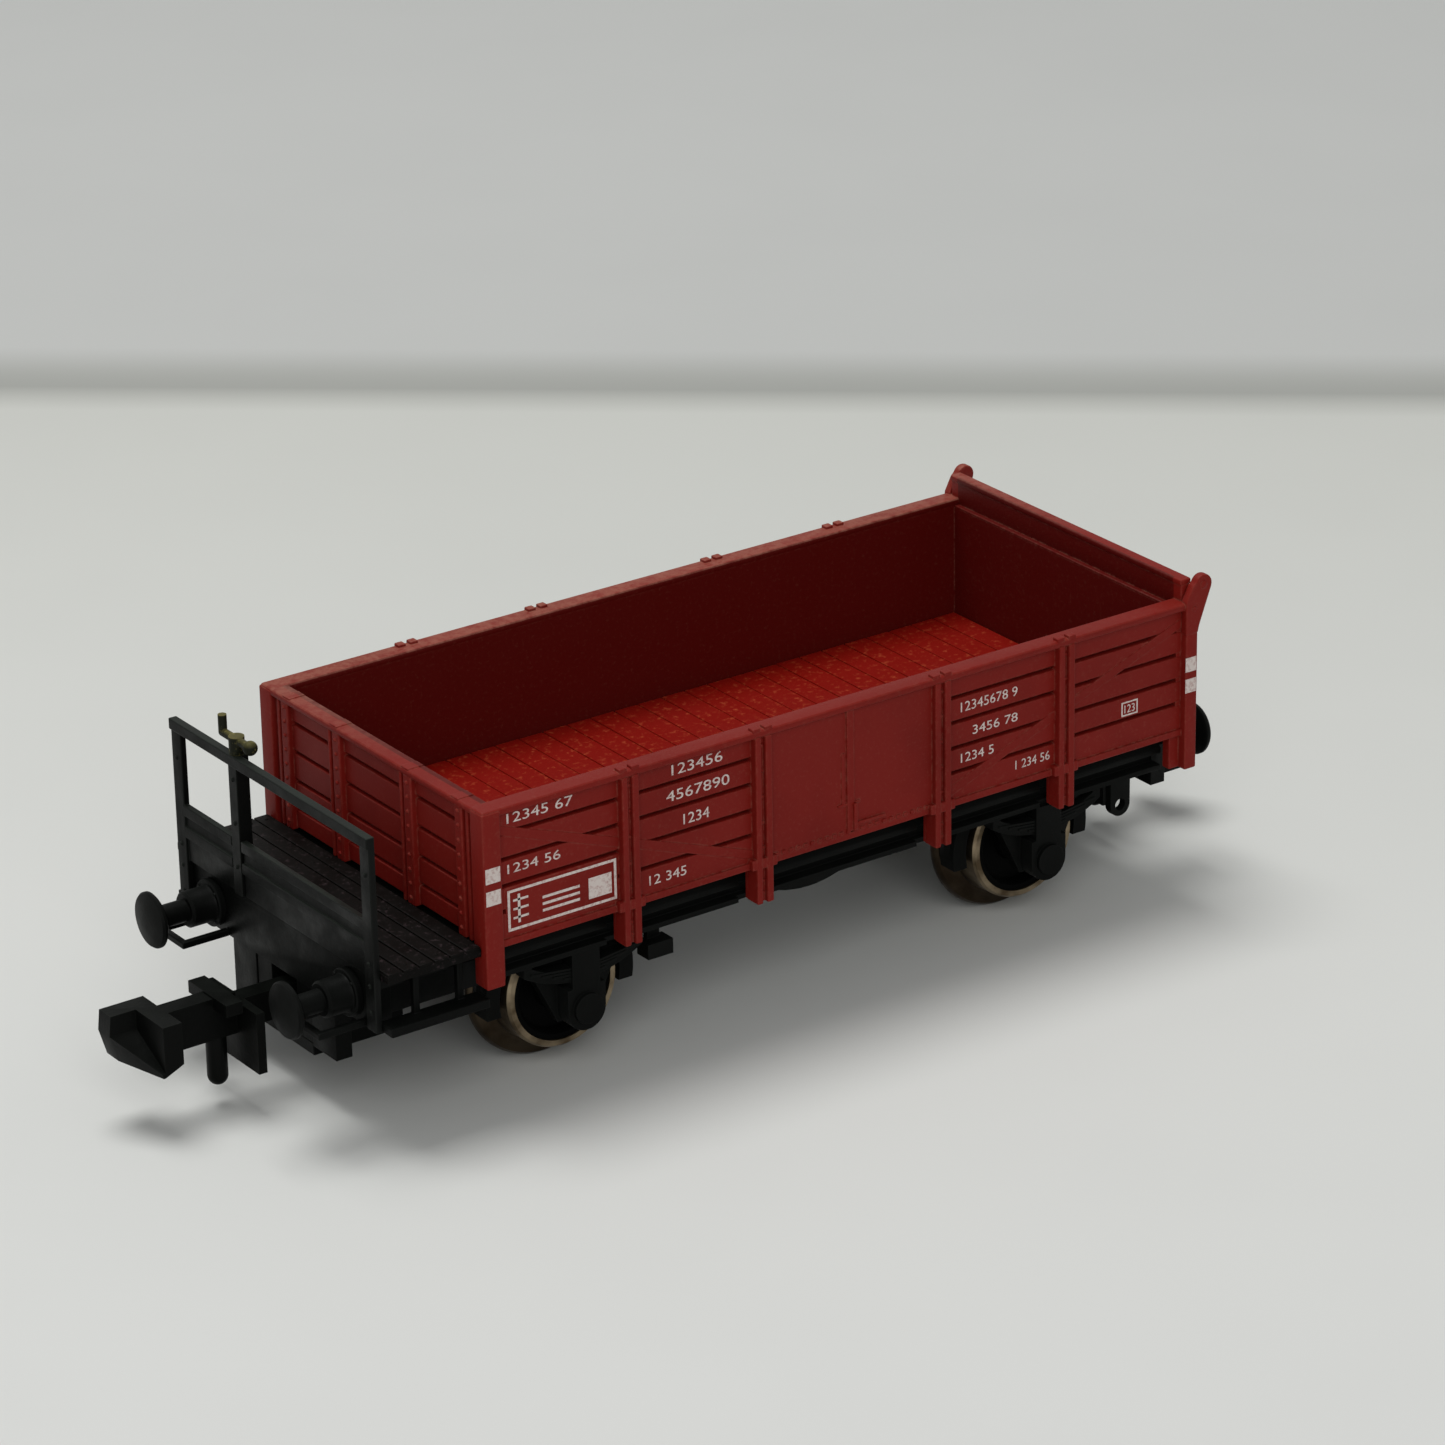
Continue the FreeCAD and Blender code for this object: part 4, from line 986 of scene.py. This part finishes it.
def panel_print(bm, face):
    """A plain framed panel: a ruled mark, three bars and a filled square."""
    add_outline(bm, (-14.22, -8.8), (8.4, 10.25), 0.12, face)
    add_patch(bm, (-13.72, -13.6), (8.7, 10.0), face)
    for z in (8.95, 9.35, 9.75):
        add_patch(bm, (-13.95, -13.2), (z - 0.05, z + 0.05), face)
    for z in (9.5, 9.2, 8.9):
        add_patch(bm, (-12.5, -10.65), (z - 0.06, z + 0.06), face)
    add_patch(bm, (-10.2, -9.05), (8.75, 9.7), face)


near_print = side_print()
far_print = bmesh.new()
add_turned_round(far_print, near_print)
finish_piece("printed_figures_near", near_print, print_white, "wagon")
finish_piece("printed_figures_far", far_print, print_white, "wagon")

# %% [markdown]
# ## Floor, light and camera
#
# The wagon stands on pale paper that bends up behind it.  A real bend would hide the wagon from behind, so
# the floor stays flat and only its tone changes there: a soft darker band, painted shade where the paper
# would bend, and a slightly darker tone past it for the upright part.  The light is a soft box above and
# behind on the left, a weak one in front, and an even pale surround.

# %% Camera
azimuth, elevation, roll = radians(-34.986), radians(23.243), radians(-1.046)
backward = Vector((sin(azimuth) * cos(elevation), -cos(azimuth) * cos(elevation), sin(elevation)))
level_right = (-backward).cross(Vector((0, 0, 1))).normalized()
level_up = level_right.cross(-backward)
right = cos(roll) * level_right + sin(roll) * level_up
up = cos(roll) * level_up - sin(roll) * level_right
camera_data = bpy.data.cameras.new("camera")
camera_data.lens = 142.84
camera_data.sensor_width = 36
camera_data.clip_start = 0.01
camera = bpy.data.objects.new("camera", camera_data)
turn = Matrix((right, up, backward)).transposed().to_4x4()
camera.matrix_world = Matrix.Translation(Vector((-129.458, -188.718, 109.458)) * MM) @ turn
bpy.context.scene.collection.objects.link(camera)
bpy.context.scene.camera = camera
print("camera", [round(v, 4) for v in camera.location], round(camera_data.lens, 1), "mm")

# %% Paper floor
def paper():
    """Matt paper whose tone changes along one level direction."""
    material, tree, shader, place = new_material("pale_paper", 0.8)
    along = add_node(tree, "VectorMath", {"operation": "DOT_PRODUCT"}, {0: place})
    along.inputs[1].default_value = (0.6285, 0.7778, 0)
    low, high = -0.12, 0.12
    ramp = add_node(tree, "ValToRGB", {}, {0: spread(tree, along.outputs["Value"], low, high, 0, 1)})
    # The tone darkens into a band of painted shade where the paper would bend; the last stops tone the
    # upright part.
    stops = ((-0.12, "#D8D8D6"), (0.0, "#D6D7D3"), (0.0695, "#C7C8C2"), (0.0716, "#B4B5AF"),
             (0.0732, "#9FA09B"), (0.0755, "#A7A8A3"), (0.0795, "#BEBFBC"), (0.12, "#C1C2BF"))
    set_ramp(ramp, [((reach - low) / (high - low), srgb(tone)) for reach, tone in stops])
    mottle = spread(tree, add_noise(tree, place, 14, 2.0), 0.4, 0.8, 0, 0.12)
    tone = add_node(tree, "Mix", {"data_type": "RGBA", "blend_type": "MULTIPLY"},
                    {"Factor": mottle, 6: ramp.outputs["Color"]})
    tone.inputs[7].default_value = (0.85, 0.85, 0.85, 1)
    tree.links.new(tone.outputs[2], shader.inputs["Base Color"])
    add_bump(tree, shader, add_noise(tree, place, 0.5, 4.0), 0.15, 0.02)
    return material


floor_shape = bmesh.new()
bmesh.ops.create_grid(floor_shape, x_segments=1, y_segments=1, size=2.0)
floor_mesh = bpy.data.meshes.new("studio_floor")
floor_shape.to_mesh(floor_mesh)
floor_shape.free()
floor = bpy.data.objects.new("studio_floor", floor_mesh)
floor.data.materials.append(paper())
bpy.context.scene.collection.objects.link(floor)

# %% Lights and surround
def soft_box(name, place, width, power, aim=(0, 0, 0.008)):
    lamp = bpy.data.lights.new(name, "AREA")
    lamp.shape = "DISK"
    lamp.size = width
    lamp.energy = power
    box = bpy.data.objects.new(name, lamp)
    box.location = place
    box.rotation_euler = (Vector(aim) - Vector(place)).to_track_quat("-Z", "Y").to_euler()
    bpy.context.scene.collection.objects.link(box)


soft_box("key_box", (-0.03, 0.10, 0.44), 0.24, 1.22)
soft_box("front_box", (-0.29, -0.50, 0.39), 0.52, 1.7)

world = bpy.data.worlds.new("surround")
bpy.context.scene.world = world
world.use_nodes = True
sky = world.node_tree
surround = sky.nodes["Background"]
surround.inputs["Color"].default_value = srgb("#F4F6F8")
surround.inputs["Strength"].default_value = 0.28
seen = add_node(sky, "Background", {"Color": srgb("#C8C9C6"), "Strength": 1.0})
path = add_node(sky, "LightPath").outputs
mirrored = add_node(sky, "Math", {"operation": "MAXIMUM"},
                    {0: path["Is Glossy Ray"], 1: path["Is Transmission Ray"]}).outputs[0]
plain = add_node(sky, "Math", {"operation": "MAXIMUM"}, {0: path["Is Camera Ray"], 1: mirrored}).outputs[0]
share = add_node(sky, "MixShader", {}, {0: plain, 1: surround.outputs[0], 2: seen.outputs[0]})
sky.links.new(share.outputs[0], sky.nodes["World Output"].inputs["Surface"])
bpy.context.scene.view_settings.view_transform = "Standard"
